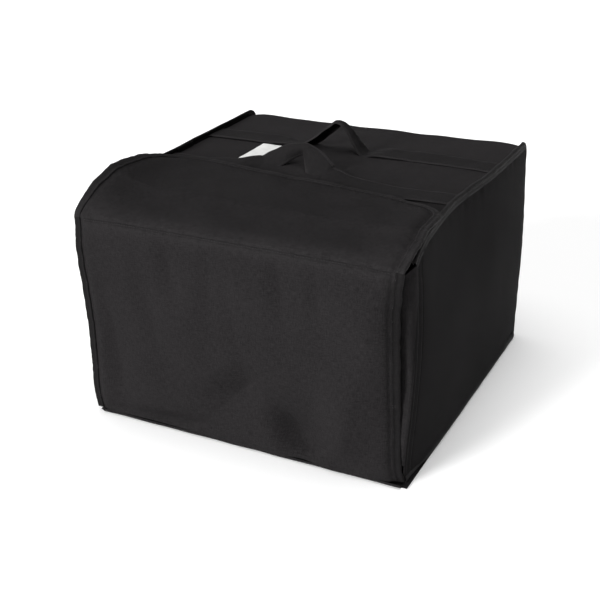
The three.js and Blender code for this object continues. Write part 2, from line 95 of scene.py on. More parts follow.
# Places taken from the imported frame
joint_at = {j["name"]: np.array(j["pos_m"]) / MM for j in frame["joints"]}


def low_of(node):
    return np.array(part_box(node)[0]) / MM


def high_of(node):
    return np.array(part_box(node)[1]) / MM


def box_of(node):
    return low_of(node), high_of(node)


SIDES = (("left", -1), ("right", 1))
HALF_WIDTH = high_of("seam_binding_right")[0]
CLOTH_TOP = high_of("side_cloth_right")[2]
CLOTH_REAR = high_of("side_cloth_right")[1]
WRAP_HALF = high_of("top_back_cloth")[0]
LINING_HALF = high_of("top_back_lining")[0]
FLAP_HALF = high_of("flap_cloth")[0]
LID_REAR = high_of("lid_cloth")[1]
HINGE = joint_at["flap_open"]
CREASE = joint_at["lid_lift"]

# Cloths and padding
CLOTH = 1.2
LINING_CLOTH = 0.8
FULL_HALF = 5.0  # from a panel's middle to its outer face
BARE_HALF = 1.35  # and where it is sewn down
BARE_RUN = 12  # how wide the sewn edge of the flap and lid is
PUFF_RUN = 5.5  # a panel swells to its full padding over about this distance
FLAP_PUFF_RUN = 3.2
LINING_RUN = 8
LINING_BARE = 0.5
LINING_FULL = 4
LINING_DEEPEST = 3.8  # the most that the flap's and lid's linings lie below a panel's middle
LINED_SHARE = 0.98  # the flap's and lid's linings stop inside the tape
LINING_INSET = 2

# Corners of the box, and how far its panels stand out between their seams
REAR_RADIUS = 11
DROOP_RADIUS = 110
DROOP_Y = -156
DROOP_RUN = 56
TOP_CROWN = 3
TOP_LIFT = 3.5
BACK_BULGE = 8
SIDE_BULGE = 4.5

# How the body sags: the right seam is drawn in and stands proud, the top's rear edge sinks, and the
# rear base corners are tucked in. A pair of places says where each starts and where it is full.
SAG_HEIGHTS = (150, 290)
SAG_Y = -60
SEAM_DRAWN_IN = 11
SEAM_DRAWN_REACH = 115
SEAM_DRAWN_REAR = 3
SEAM_DRAWN_ALONG = (0, 150)
SEAM_DRAWN_ACROSS = (60, 220)
SEAM_PROUD = 3
SEAM_PROUD_REACH = 110
SEAM_PROUD_ACROSS = (110, 220)
REAR_SINK = 3
REAR_SINK_REACH = 45
REAR_SINK_ACROSS = (220, 140)
BASE_TUCK = 3
BASE_TUCK_ALONG = (140, 230)
BASE_TUCK_ACROSS = (150, 220)
BASE_TUCK_HEIGHT = 30
BASE_TUCK_REACH = 60


def smooth(share):
    share = np.clip(share, 0, 1)
    return share * share * (3 - 2 * share)


def climb(value, start, end):
    """Goes smoothly from 0 at the start to 1 at the end"""
    return smooth((value - start) / (end - start))


def hill(distance, width):
    return np.exp(-((distance / width) ** 2))


def fade(distance, run):
    """1 at no distance, falling away over the run"""
    return np.exp(-np.maximum(distance, 0) / run)


def unit(vectors):
    return vectors / np.maximum(np.linalg.norm(vectors, axis=-1, keepdims=True), 1e-9)


def joined(*coordinates):
    """Points from coordinates that are numbers or arrays that fit together"""
    return np.stack(np.broadcast_arrays(*coordinates), -1)


def run_along(points):
    """Distances along a line of points"""
    return np.concatenate([[0], np.cumsum(np.linalg.norm(np.diff(points, axis=0), axis=1))])


def read_off(places, run, table):
    """Values of a table's columns at places along its run"""
    return np.stack([np.interp(places, run, column) for column in np.transpose(table)], -1)


def along_table(table, place):
    places, values = np.array(table, float).T
    return np.interp(place, places, values)


def swell(a, b, wave, seed, terms=14):
    """A smooth random swell of about -1 to 1 over two coordinates, with waves of about the given length"""
    draws = np.random.default_rng(seed).uniform((0, 0.7, 0), (TURN, 1.5, TURN), (terms, 3))
    total = np.zeros(np.broadcast(a, b).shape)
    for angle, stretch, phase in draws:
        run = a * math.cos(angle) + b * math.sin(angle)
        total = total + np.cos(TURN * run / (wave * stretch) + phase)
    return total * math.sqrt(2 / terms) / 2


def ripple(run, wave, seed):
    """A smooth random wave of about -1 to 1 along one coordinate"""
    return swell(run, np.zeros_like(run), wave, seed, terms=9)


def spaced(low, high, step, fine_at=(), fine_reach=14, fine_step=1.5):
    """Values from low to high, closer together near the places given"""
    values = [np.linspace(low, high, max(2, int(round((high - low) / step)) + 1))]
    for place in fine_at:
        start, end = max(low, place - fine_reach), min(high, place + fine_reach)
        values.append(np.linspace(start, end, max(2, int(round((end - start) / fine_step)) + 1)))
    merged = np.sort(np.concatenate(values))
    kept = [merged[0]]
    for value in merged[1:]:
        if value - kept[-1] > fine_step / 2:
            kept.append(value)
    kept[-1] = high
    return np.array(kept)


def raised(surface, a, b, height):
    """Points at a height above a surface, which gives a point for each pair of coordinates"""
    step = 0.4
    a, b = np.broadcast_arrays(np.asarray(a, float), np.asarray(b, float))
    ahead = surface(a + step, b) - surface(a - step, b)
    across = surface(a, b + step) - surface(a, b - step)
    return surface(a, b) + unit(np.cross(ahead, across)) * np.broadcast_to(height, a.shape)[..., None]


def settled(x, y, z):
    """Points of the body, moved as its soft top seams lie"""
    x, y, z = np.broadcast_arrays(x, y, z)
    high = climb(z, *SAG_HEIGHTS)
    drawn = SEAM_DRAWN_IN * hill(y - SAG_Y, SEAM_DRAWN_REACH)
    drawn = drawn + SEAM_DRAWN_REAR * climb(y, *SEAM_DRAWN_ALONG)
    drawn = drawn * climb(x, *SEAM_DRAWN_ACROSS) * high
    proud = SEAM_PROUD * climb(x, *SEAM_PROUD_ACROSS) * hill(y - SAG_Y, SEAM_PROUD_REACH)
    sink = REAR_SINK * climb(np.abs(x), *REAR_SINK_ACROSS) * hill(y - CLOTH_REAR, REAR_SINK_REACH)
    tuck = BASE_TUCK * np.sign(x) * climb(y, *BASE_TUCK_ALONG) * hill(z - BASE_TUCK_HEIGHT, BASE_TUCK_REACH)
    tuck = tuck * climb(np.abs(x), *BASE_TUCK_ACROSS)
    return joined(x - drawn - tuck, y, z + (proud - sink) * high)


# Meshes
SHARP_DEGREES = 55


def make_mesh(name, points, faces, uv, worn_and_sheened=0.0, sharp_degrees=SHARP_DEGREES):
    """A piece from points and faces in millimetres, with a place in the cloth for each face corner"""
    mesh = bpy.data.meshes.new(name)
    mesh.from_pydata((points * MM).tolist(), [], faces)
    mesh.uv_layers.new(name="cloth").data.foreach_set("uv", (uv * MM).astype(np.float32).ravel())
    wear_and_sheen = np.broadcast_to(worn_and_sheened, len(points)).astype(np.float32)
    mesh.attributes.new("wear_and_sheen", "FLOAT", "POINT").data.foreach_set("value", wear_and_sheen)
    mesh.polygons.foreach_set("use_smooth", np.ones(len(faces), bool))
    mesh.set_sharp_from_angle(angle=math.radians(sharp_degrees))
    return placed(name, mesh)


def loft(name, rings, plan=None, wear_and_sheen=0.0):
    """A closed mesh through rings of points. Each ring is a closed loop, and the end rings are filled
    between the two halves of the loop. plan gives the cloth's own coordinates, and wear_and_sheen how
    worn each point is, which on the wrap's top also gives painted sheen."""
    rows, cols = rings.shape[:2]
    if plan is None:
        around = np.linalg.norm(np.diff(rings, axis=1, append=rings[:, :1]), axis=2).mean(0)
        along = np.linalg.norm(np.diff(rings, axis=0), axis=2).mean(1)
        u = np.concatenate([[0], np.cumsum(around)])[None, :]
        v = np.concatenate([[0], np.cumsum(along)])[:, None]
        plan = joined(u, v)
    else:
        plan = np.concatenate([plan, plan[:, :1]], axis=1)
    r, c = np.meshgrid(np.arange(rows - 1), np.arange(cols), indexing="ij")
    turn = [(r, c), (r, c + 1), (r + 1, c + 1), (r + 1, c)]
    k = np.arange(cols // 2 - 1)
    ladder = np.stack([k, cols - 1 - k, cols - 2 - k, k + 1], -1)

    def quads(width):
        walls = np.stack([i * width + j % width for i, j in turn], -1).reshape(-1, 4)
        return np.concatenate([walls, ladder, (rows - 1) * width + ladder[:, ::-1]])

    faces, face_plan = quads(cols), quads(cols + 1)
    points = rings.reshape(-1, 3)
    a, b, c, d = np.moveaxis(points[faces], 1, 0)
    if (a * (np.cross(b, c) + np.cross(c, d))).sum() < 0:
        faces, face_plan = faces[:, ::-1], face_plan[:, ::-1]
    uv = plan.reshape(-1, 2)[face_plan].reshape(-1, 2)
    return make_mesh(name, points, faces.tolist(), uv, np.broadcast_to(wear_and_sheen, (rows, cols)).ravel())


def shell(name, front, back, plan=None, wear_and_sheen=None):
    """A closed sheet between two grids of points"""
    rings = np.concatenate([front, back[:, ::-1]], axis=1)
    if plan is not None:
        plan = np.concatenate([plan, plan[:, ::-1]], axis=1)
    if wear_and_sheen is None:
        return loft(name, rings, plan)
    wear_and_sheen = np.broadcast_to(wear_and_sheen, front.shape[:2])
    return loft(name, rings, plan, np.concatenate([wear_and_sheen, 0 * wear_and_sheen], axis=1))


def panel_shell(name, surface, a, b, height, thickness, wear_and_sheen=None):
    """A sheet of cloth whose outer face lies at a height above a surface"""
    front = raised(surface, a, b, height)
    back = raised(surface, a, b, height - thickness)
    return shell(name, front, back, joined(a, b), wear_and_sheen)


def finish_piece(piece, slot, body, replaces=(), finish=None):
    """Gives a piece its finish, parents it to its body when one body is named (for a pair of bodies it only
    bakes its place), and hides the CAD nodes that it stands for
    """
    piece.data.materials.append(finishes[finish or slot])
    if replaces:
        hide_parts(*replaces)
    if isinstance(body, str):
        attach(piece, body)
    else:
        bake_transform(piece)


# Materials
class Nodes:
    """Builds up a node tree by short calls"""

    def __init__(self, tree):
        self.tree = tree

    def put(self, socket, value):
        if isinstance(value, bpy.types.NodeSocket):
            self.tree.links.new(value, socket)
        else:
            socket.default_value = value

    def add(self, kind, *values, **settings):
        made = self.tree.nodes.new("ShaderNode" + kind)
        for key, value in settings.items():
            setattr(made, key, value)
        for socket, value in zip(made.inputs, values):
            self.put(socket, value)
        return made

    def math(self, operation, *values):
        return self.add("Math", *values, operation=operation).outputs[0]

    def clamp(self, value):
        return self.add("Clamp", value, 0.0, 1.0).outputs[0]

    def fill(self, made, **values):
        """Sets a node's inputs by their names"""
        for key, value in values.items():
            self.put(made.inputs[key.replace("_", " ")], value)
        return made

    def noise(self, coordinate, scale, detail=2.0, roughness=0.5):
        made = self.add("TexNoise")
        self.fill(made, Vector=coordinate, Scale=scale, Detail=detail, Roughness=roughness)
        return self.math("SUBTRACT", made.outputs["Fac"], 0.5)

    def blend(self, share, first, second):
        made = self.add("Mix", data_type="RGBA")
        for place, value in ((0, share), (6, first), (7, second)):
            self.put(made.inputs[place], value)
        return made.outputs[2]


class Finish(Nodes):
    """A Principled material with the cloth's own coordinates in metres"""

    def __init__(self, name):
        self.material = bpy.data.materials.new(name)
        self.material.use_nodes = True
        super().__init__(self.material.node_tree)
        self.shader = next(n for n in self.tree.nodes if n.type == "BSDF_PRINCIPLED")
        self.uv = self.add("UVMap", uv_map="cloth").outputs[0]
        self.u, self.v = self.add("SeparateXYZ", self.uv).outputs[:2]
        self.space = self.add("TexCoord").outputs["Object"]

    def set(self, **values):
        self.fill(self.shader, **values)
        return self.material

    def bump(self, height):
        made = self.fill(self.add("Bump"), Strength=1, Distance=1, Height=height)
        self.set(Normal=made.outputs[0])


def grey(value, tint=(1, 0.935, 0.968)):
    return (value * tint[0], value * tint[1], value * tint[2], 1)


# Woven cloths: the greys of the thread where it is dark, light and worn, where the worn grey also gives
# painted sheen on the wrap's top, the width of one thread and how far it stands up in millimetres, then
# roughness, gloss, sheen and whether the weave is ribbed
WOVEN_CLOTHS = {
    "outer_cloth": ("black_oxford_cloth", (0.004, 0.026, 0.03), 0.42, 0.06, 0.62, 0.012, 0.003, False),
    # Painted shade: the side panels take this darker copy of the outer cloth, standing in for the shade on
    # the sides
    "side_cloth": ("painted_shade_side_cloth", (0.003, 0.016, 0.021), 0.42, 0.06, 0.62, 0.012, 0.003, False),
    "binding_tape": ("black_ribbed_tape", (0.005, 0.022, 0.034), 0.55, 0.08, 0.52, 0.05, 0.005, True),
    # Painted shade: the left seam takes this darker copy of the binding tape, standing in for the shade on
    # that seam
    "seam_tape": ("painted_shade_seam_tape", (0.003, 0.011, 0.022), 0.55, 0.08, 0.6, 0.02, 0.003, True),
    # Painted shade: the flap's edges take this darker copy of the binding tape, standing in for the shade
    # on them
    "edge_tape": ("painted_shade_edge_tape", (0.003, 0.014, 0.024), 0.55, 0.08, 0.58, 0.03, 0.004, True),
    "webbing": ("black_strap_cloth", (0.004, 0.02, 0.04), 0.46, 0.07, 0.6, 0.03, 0.005, False),
    "thread": ("black_thread", (0.012, 0.034, 0.04), 0.3, 0.03, 0.5, 0.15, 0.02, True),
}


def woven(name, greys, thread, stand, roughness, gloss, sheen, ribbed):
    """Woven cloth: threads that go over and under, slubs, soft patches and paler worn places, where the
    paler grey on the wrap's top is painted sheen
    """
    finish = Finish(name)
    dark, light, worn_and_sheened = (grey(value) for value in greys)
    turns = math.pi / (thread * MM)
    warp = finish.math("SINE", finish.math("MULTIPLY", finish.u, turns))
    weft = finish.math("SINE", finish.math("MULTIPLY", finish.v, turns))
    over = weft if ribbed else finish.math("MULTIPLY", warp, weft)
    drawn_out = [
        finish.add("VectorMath", finish.uv, stretch, operation="MULTIPLY").outputs[0]
        for stretch in ((1, 0.16, 1), (0.16, 1, 1))
    ]
    slub = finish.math("ADD", *(finish.noise(way, 760, 2.0, 0.6) for way in drawn_out))
    patch = finish.noise(finish.space, 16, 2.0)
    grain = finish.noise(finish.uv, 1100, 2.0, 0.7)
    height = finish.math("MULTIPLY", over, stand * MM)
    height = finish.math("MULTIPLY_ADD", slub, 0.22 * MM, height)
    height = finish.math("MULTIPLY_ADD", grain, 0.1 * MM, height)
    finish.bump(height)
    tone = finish.math("MULTIPLY_ADD", over, 0.12, 0.5)
    for part, share in ((patch, 0.2), (slub, 0.7), (grain, 1.3)):
        tone = finish.math("MULTIPLY_ADD", part, share, tone)
    colour = finish.blend(finish.clamp(tone), dark, light)
    scuff = finish.math("MULTIPLY_ADD", finish.noise(finish.space, 90, 3.0), 1.2, 0.55)
    # The wear attribute holds real wear, and on the wrap's top also painted sheen; both are painted with
    # the worn grey
    wear_and_sheen = finish.add("Attribute", attribute_name="wear_and_sheen").outputs["Fac"]
    scuff_and_sheen_mask = finish.clamp(finish.math("MULTIPLY", wear_and_sheen, scuff))
    rough = finish.math("MULTIPLY_ADD", patch, 0.12, roughness)
    rough = finish.math("MULTIPLY_ADD", slub, 0.12, rough)
    return finish.set(
        Base_Color=finish.blend(scuff_and_sheen_mask, colour, worn_and_sheened), Roughness=rough, Specular_IOR_Level=gloss,
        Sheen_Weight=sheen, Sheen_Roughness=0.4, Sheen_Tint=grey(0.72),
    )


def foil_lining():
    """Silver coated lining: soft metallic film over a fine weave, creased all over"""
    finish = Finish("silver_lining")
    crumple = finish.noise(finish.space, 55, 5.0, 0.62)
    fine = finish.noise(finish.uv, 900, 2.0)
    finish.bump(finish.math("MULTIPLY_ADD", fine, 0.05 * MM, finish.math("MULTIPLY", crumple, 1.6 * MM)))
    shade = finish.clamp(finish.math("MULTIPLY_ADD", crumple, 1.1, 0.5))
    return finish.set(
        Base_Color=finish.blend(shade, (0.36, 0.37, 0.38, 1), (0.52, 0.53, 0.54, 1)),
        Roughness=finish.math("MULTIPLY_ADD", crumple, 0.25, 0.4), Metallic=0.55,
    )


def hook_loop():
    """A dense black nap"""
    finish = Finish("black_nap")
    nap = finish.noise(finish.uv, 1900, 3.0, 0.75)
    tuft = finish.noise(finish.uv, 420, 2.0)
    finish.bump(finish.math("MULTIPLY_ADD", tuft, 0.3 * MM, finish.math("MULTIPLY", nap, 0.7 * MM)))
    shade = finish.clamp(finish.math("MULTIPLY_ADD", nap, 1.6, 0.45))
    return finish.set(
        Base_Color=finish.blend(shade, grey(0.006), grey(0.03)), Roughness=0.95,
        Specular_IOR_Level=0.15, Sheen_Weight=0.3, Sheen_Roughness=0.6,
    )


def label_cloth():
    """White satin label, bare"""
    finish = Finish("white_label")
    fine = finish.math("SINE", finish.math("MULTIPLY", finish.u, math.pi / (0.35 * MM)))
    soil = finish.noise(finish.uv, 70, 3.0)
    finish.bump(finish.math("MULTIPLY_ADD", soil, 0.3 * MM, finish.math("MULTIPLY", fine, 0.02 * MM)))
    shade = finish.clamp(finish.math("MULTIPLY_ADD", soil, 1.0, 0.6))
    return finish.set(
        Base_Color=finish.blend(shade, (0.5, 0.5, 0.495, 1), (0.74, 0.74, 0.73, 1)), Roughness=0.45,
        Sheen_Weight=0.1, Sheen_Roughness=0.4,
    )


def board():
    """Stiff fibre board, with a pressed grain"""
    finish = Finish("grey_board")
    grain = finish.noise(finish.uv, 700, 4.0, 0.65)
    cloud = finish.noise(finish.uv, 18, 2.0)
    finish.bump(finish.math("MULTIPLY", grain, 0.25 * MM))
    tone = finish.math("MULTIPLY_ADD", grain, 0.9, finish.math("MULTIPLY_ADD", cloud, 0.6, 0.5))
    return finish.set(
        Base_Color=finish.blend(finish.clamp(tone), grey(0.03), grey(0.065)),
        Roughness=finish.math("MULTIPLY_ADD", grain, 0.2, 0.6),
    )


finishes = {slot: woven(*values) for slot, values in WOVEN_CLOTHS.items()}
for maker in (foil_lining, hook_loop, label_cloth, board):
    finishes[maker.__name__] = maker()


# Stitching: short beads of thread laid along a row of points
STITCH_PITCH = 3.6
STITCH_LENGTH = 2.5
STITCH_RADIUS = 0.32
STITCH_SIDES = 6
STITCH_LIFT = 0.1  # how far it lies off the cloth, and off a seam or strap
BAND_STITCH_LIFT = 0.12
STITCH_RINGS = ((-0.62, 0.1), (0.0, 0.35), (0.62, 0.1))  # shares of half the length and of the radius


def stitch_row(points, outward):
    """Bead corners for one row, as an array of beads by corners by coordinates"""
    run = run_along(points)
    count = max(1, int(run[-1] / STITCH_PITCH))
    middle = (np.arange(count) + 0.5) * run[-1] / count
    reach = 0.3
    ahead = unit(read_off(middle + reach, run, points) - read_off(middle - reach, run, points))
    side = unit(np.cross(unit(read_off(middle, run, outward)), ahead))
    up = np.cross(ahead, side)
    centre = read_off(middle, run, points)
    half = ahead * (STITCH_LENGTH / 2)
    sunk = up * STITCH_RADIUS * 0.5
    beads = [centre - half - sunk]
    for share, lift in STITCH_RINGS:
        for step in range(STITCH_SIDES):
            angle = TURN * step / STITCH_SIDES
            spoke = side * math.cos(angle) + up * (math.sin(angle) + lift)
            beads.append(centre + half * share + spoke * STITCH_RADIUS)
    beads.append(centre + half - sunk)
    return np.stack(beads, 1)


def stitching(name, rows, body):
    """All the stitches of one piece, from rows of (points, outward directions)"""
    beads = np.concatenate([stitch_row(points, outward) for points, outward in rows])
    count, corners = beads.shape[:2]
    n = STITCH_SIDES
    quads, tips = [], []
    for step in range(n):
        after = (step + 1) % n
        tips.append([0, 1 + after, 1 + step])
        for low in (1, 1 + n):
            quads.append([low + step, low + after, low + n + after, low + n + step])
        tips.append([1 + 2 * n + step, 1 + 2 * n + after, corners - 1])
    first = np.arange(count)[:, None, None] * corners
    faces = []
    for shape in (quads, tips):
        for bead in (np.array(shape) + first).tolist():
            faces.extend(bead)
    points = beads.reshape(-1, 3)
    x, y, z = points[np.concatenate(faces)].T
    piece = make_mesh(name, points, faces, joined(x + y, z), sharp_degrees=180)
    finish_piece(piece, "thread", body)


def on_surface(surface, a, b, height):
    """A row of stitch points on a surface, with the directions that they face"""
    low = raised(surface, a, b, height)
    return low, unit(raised(surface, a, b, height + 1) - low)


# Flap: coordinates across the bag and up from the hinge
FLAP_UP = unit(CREASE - HINGE)
FLAP_OUT = np.array([0, -FLAP_UP[2], FLAP_UP[1]])
FLAP_LENGTH = float(np.linalg.norm(CREASE - HINGE))
EDGE_RUN = 95
EASE = 4  # how far the crease gives at its ends
EASE_ACROSS = (150, 220)
EASE_REACH = 30
CREASE_HALF = 3.2
CREASE_REACH = 7
CREASE_GROOVE = 1.9
CREASE_STITCH = 2.5  # from the crease to its row of stitches
FLAP_SWAY_FADE = 40
FOLD_EDGE_FADE = 14
FOLD_CREASE_FADE = 24
FOLD_FOOT_INWARD = (-3, 15)  # folds start between these distances up from the hinge
FOLD_FOOT_OUTWARD = (4, 44)
FLAP_CURL = 14
FLAP_CURL_REACH = 48
FLAP_CURL_FOOT_SHARE = 0.45
FLAP_CURL_RISE = 90
FLAP_CURL_FADE = 60
FLAP_STEP = 3.5  # between grid points
TAPE_SIDE_FINE = (12, 1.6)  # reach and step of the finer ones beside a tape
CREASE_FINE = (12, 1.0)  # and at the crease
LINING_STEP = 5

# How far the flap's edges stand outside their straight lines, by the distance up from the hinge
RIGHT_EDGE = (
    (0, -1.5), (14, -5), (38, -7), (77, -8.5), (120, -9.7), (200, -9.5), (231, -8.8), (259, -4.6), (282, 0),
)
LEFT_EDGE = (
    (0, 7), (25, 9.5), (45, 9), (64, 6.3), (102, 3), (121, 1.8), (190, 1.4), (240, 3.2), (262, 2.2),
    (282, 0.8),
)

# Folds of the front: (across, up, turn in degrees, run of the fall, run of the rise, half length, depth)
FRONT_FOLDS = (
    (40, 14, 33, 40, 40, 42, 24),
    (-30, 108, -45, 44, 30, 38, 15),
    (-214, 92, 4, 36, 30, 80, 8),
    (-125, 30, -80, 28, 30, 80, 9),
    (132, 76, -16, 60, 60, 110, 5),
    (92, 68, -14, 56, 46, 85, -11),
    (-108, 228, 3, 26, 20, 50, 4.4),
    (-54, 228, -4, 26, 20, 46, 4.2),
    (42, 234, 5, 26, 20, 52, 5.2),
    (92, 236, 2, 24, 20, 46, 4.2),
    (-26, 170, 8, 28, 24, 80, 3.6),
    (-148, 170, 6, 28, 24, 70, 3.6),
)


def edge_shift(x, up):
    right = along_table(RIGHT_EDGE, up) * climb(x, FLAP_HALF - EDGE_RUN, FLAP_HALF)
    left = along_table(LEFT_EDGE, up) * climb(-x, FLAP_HALF - EDGE_RUN, FLAP_HALF)
    return right - left


def crease_ease(x, distance):
    """How far the crease gives, at a place across and a distance from it"""
    return EASE * climb(np.abs(x), *EASE_ACROSS) * hill(distance, EASE_REACH)


def turned(x, y, at_x, at_y, degrees):
    """Coordinates across and along a line that is turned about a place"""
    angle = math.radians(degrees)
    across = (x - at_x) * math.cos(angle) + (y - at_y) * math.sin(angle)
    along = (y - at_y) * math.cos(angle) - (x - at_x) * math.sin(angle)
    return across, along


def front_folds(x, up):
    """How deep the folds are: each falls on its left side and rises slowly on its right"""
    total = 0
    for at_x, at_up, degrees, fall, rise, half_length, depth in FRONT_FOLDS:
        across, along = turned(x, up, at_x, at_up, degrees)
        total = total + depth * smooth(across / fall) * fade(across - fall, rise) * hill(along, half_length)
    return total


def flap_sway(x, up):
    """Broad swells and folds of the flap's middle, and its right edge that curls back"""
    crease = FLAP_LENGTH - up
    swells = 1.0 * swell(x, up * 0.25, 80, 11) + 0.6 * swell(x, up, 120, 12)
    folds = front_folds(x, up)
    foot = np.where(folds > 0, climb(up, *FOLD_FOOT_INWARD), climb(up, *FOLD_FOOT_OUTWARD))
    folds = folds * foot * climb(crease, 0, FOLD_CREASE_FADE)
    folds = folds * climb(FLAP_HALF - np.abs(x), 0, FOLD_EDGE_FADE)
    curl = np.clip((x - FLAP_HALF + FLAP_CURL_REACH) / FLAP_CURL_REACH, 0, 1.1) ** 2
    share = FLAP_CURL_FOOT_SHARE + (1 - FLAP_CURL_FOOT_SHARE) * climb(up, 0, FLAP_CURL_RISE)
    curl = FLAP_CURL * curl * share * climb(crease, 0, FLAP_CURL_FADE)
    return swells * climb(up, 0, FLAP_SWAY_FADE) * climb(crease, 0, FLAP_SWAY_FADE) - folds - curl


def flap_middle(x, up):
    ease = crease_ease(x, FLAP_LENGTH - up)
    at = HINGE + np.asarray(up)[..., None] * FLAP_UP + flap_sway(x, up)[..., None] * FLAP_OUT
    return at + joined(x + edge_shift(x, up), ease, -ease)


def puffed(distance, low=BARE_HALF, full=FULL_HALF, run=PUFF_RUN):
    """Height of padded cloth at a distance from where it is sewn down"""
    return low + (full - low) * (1 - fade(distance, run))


def puckers(distance, run, seed, size=0.5, reach=13):
    """Small gathers beside a seam, at a distance from it and a place along it"""
    return size * (ripple(run, 13, seed) + 0.5 * ripple(run, 6.5, seed + 1)) * fade(distance, reach)


def pressed(height, crease):
    """A panel's height where it is pressed flat along the crease"""
    return height - np.maximum((height - CREASE_HALF) * hill(crease, CREASE_REACH), 0)


def flap_height(x, up):
    """The outer cloth's height above the flap's middle"""
    side = FLAP_HALF - BARE_RUN - np.abs(x)
    crease = FLAP_LENGTH - up
    height = puffed(side, run=FLAP_PUFF_RUN) + puckers(side, up + 400 * np.sign(x), 21) * (side > -2)
    height = pressed(height, crease)
    height = height - CREASE_GROOVE * hill(crease - CREASE_STITCH, 1.5) * climb(side, -4, 2)
    return np.maximum(height + puckers(crease, x, 31, 0.3, 18), BARE_HALF)


def add_flap():
    tapes = (BARE_RUN - FLAP_HALF, FLAP_HALF - BARE_RUN)
    x = spaced(-FLAP_HALF, FLAP_HALF, FLAP_STEP, tapes, *TAPE_SIDE_FINE)[None, :]
    up = spaced(0, FLAP_LENGTH, FLAP_STEP, (FLAP_LENGTH,), *CREASE_FINE)[:, None]
    wear_and_sheen = 0.35 * hill(FLAP_LENGTH - up, 14)
    front = panel_shell("flap_front_cloth", flap_middle, x, up, flap_height(x, up), CLOTH, wear_and_sheen)
    finish_piece(front, "outer_cloth", "flap", ("flap_cloth", "flap_foam", "crease_fold"))
    x = x * LINED_SHARE
    up = spaced(LINING_INSET, FLAP_LENGTH - LINING_INSET, LINING_STEP)[:, None]
    side = FLAP_HALF - BARE_RUN - np.abs(x)
    ends = np.minimum(up, FLAP_LENGTH - up)
    deep = puffed(side, LINING_BARE, LINING_DEEPEST, LINING_RUN)
    depth = np.minimum(deep, puffed(ends, LINING_BARE, LINING_FULL, LINING_RUN))
    depth = depth + 0.5 * swell(x, up, 30, 41) * climb(side, 0, 20)
    inner = panel_shell("flap_inner_lining", flap_middle, x, up, -depth, LINING_CLOTH)
    finish_piece(inner, "foil_lining", "flap", ("flap_lining",))


# A binding's section: (distance in from the edge, height off the middle, share of wear), out on one face
# and back on the other
TAPE = 0.8
TAPE_SCALE = 0.64  # the flap's and lid's tape lies narrower than the CAD's
TAPE_SECTION = (
    (15.0, 0.8, 0), (14.7, 1.9, 0), (13.6, 2.5, 0), (12.4, 2.7, 0), (11.2, 2.3, 0), (8.5, 1.7, 0.1),
    (5.0, 2.5, 0.1), (2.0, 2.75, 0.2), (0.2, 2.1, 0.4), (-0.8, 1.1, 0.4), (-1.3, 0.0, 0.4),
)
TAPE_STITCH_IN = 12.4
TAPE_STITCH_UP = 1.95


def tape_on(name, surface, edge, inward, scale=TAPE_SCALE, seed=51):
    """A tape folded over the edge of a surface. edge and inward are rows of its own coordinates"""
    out = np.array(TAPE_SECTION, float)
    loop = np.concatenate([out, out[-2::-1] * (1, -1, 1)])
    insets, heights, wear_and_sheen = loop.T
    insets = insets * scale
    inner_in = np.maximum(insets[::-1], 0.6)
    inner_up = np.sign(heights[::-1]) * np.maximum(np.abs(heights[::-1]) - TAPE, 0.3)
    run = run_along(edge)[:, None]
    wobble = 0.5 * ripple(run, 34, seed) + 0.25 * ripple(run, 13, seed + 1)
    gathers = climb(ripple(run, 12, seed + 4), 0.3, 0.9)
    thicken = 1 + 0.12 * ripple(run, 16, seed + 2) + 0.08 * ripple(run, 7, seed + 3) - 0.22 * gathers

    def laid(along_in, along_up):
        shift = along_in[None, :] + wobble
        a, b = (edge[:, k:k + 1] + inward[:, k:k + 1] * shift for k in (0, 1))
        return raised(surface, a, b, along_up[None, :] * thicken)

    rings = np.concatenate([laid(insets, heights), laid(inner_in, inner_up)], axis=1)
    tape = loft(name, rings, wear_and_sheen=np.concatenate([wear_and_sheen, wear_and_sheen * 0]))
    return tape


def tape_stitches(surface, edge, inward, inset=TAPE_STITCH_IN * TAPE_SCALE):
    a, b = (edge + inward * inset).T
    return on_surface(surface, a, b, TAPE_STITCH_UP)


def add_flap_tapes():
    for side, sign in SIDES:
        up = spaced(1.0, FLAP_LENGTH, 3)
        edge = joined(sign * FLAP_HALF, up)
        inward = joined(-sign, 0 * up)
        tape = tape_on(f"flap_edge_tape_{side}", flap_middle, edge, inward, seed=61 + 10 * sign)
        # Painted shade: the flap's edge tapes take the darker edge tape, a shaded copy of the binding tape
        finish_piece(tape, "binding_tape", "flap", (f"flap_binding_{side}",), finish="edge_tape")
        stitching(f"flap_tape_stitches_{side}", [tape_stitches(flap_middle, edge, inward)], "flap")
    x = spaced(15 - FLAP_HALF, FLAP_HALF - 15, 4)
    up = np.full_like(x, FLAP_LENGTH - CREASE_STITCH)
    stitching("crease_stitches", [on_surface(flap_middle, x, up, flap_height(x, up) + STITCH_LIFT)], "flap")


# Lid: coordinates across the bag and back from the crease. Its left edge curls up, its right edge lies on
# the bound seam, and its rear edge is drawn askew.
LID_MIDDLE = CLOTH_TOP + 7.9
LID_CORNER = 70
LID_SHIFT_RUN = 60  # the flap's edges pass into the lid's over about this distance
SLOPE_RUN = 80
SLOPE_BEND = 40
SLOPE_DROP = 9
SLOPE_START = 5.2
CURL_HEIGHT = 25
CURL_WIDTH = 78
LID_SKEW_SHARE = 0.14
LID_SKEW_START = -80
LID_CORNER_PULL = 18
LID_CORNER_ACROSS = (110, 210)
RIDE_HEIGHT = 7
RIDE_ACROSS = (150, 210)
RIDE_RISE_SHARE = 0.2
RIDE_REACH = 4
RIDE_REACH_ACROSS = (140, 210)
RIDE_REACH_ALONG = 48  # where the lid's edge reaches out furthest, and over what distance
RIDE_REACH_RUN = 36
CREASE_BEND = ("flap", "lid", CREASE + (0, -4, -2), CREASE + (0, 12, 6))

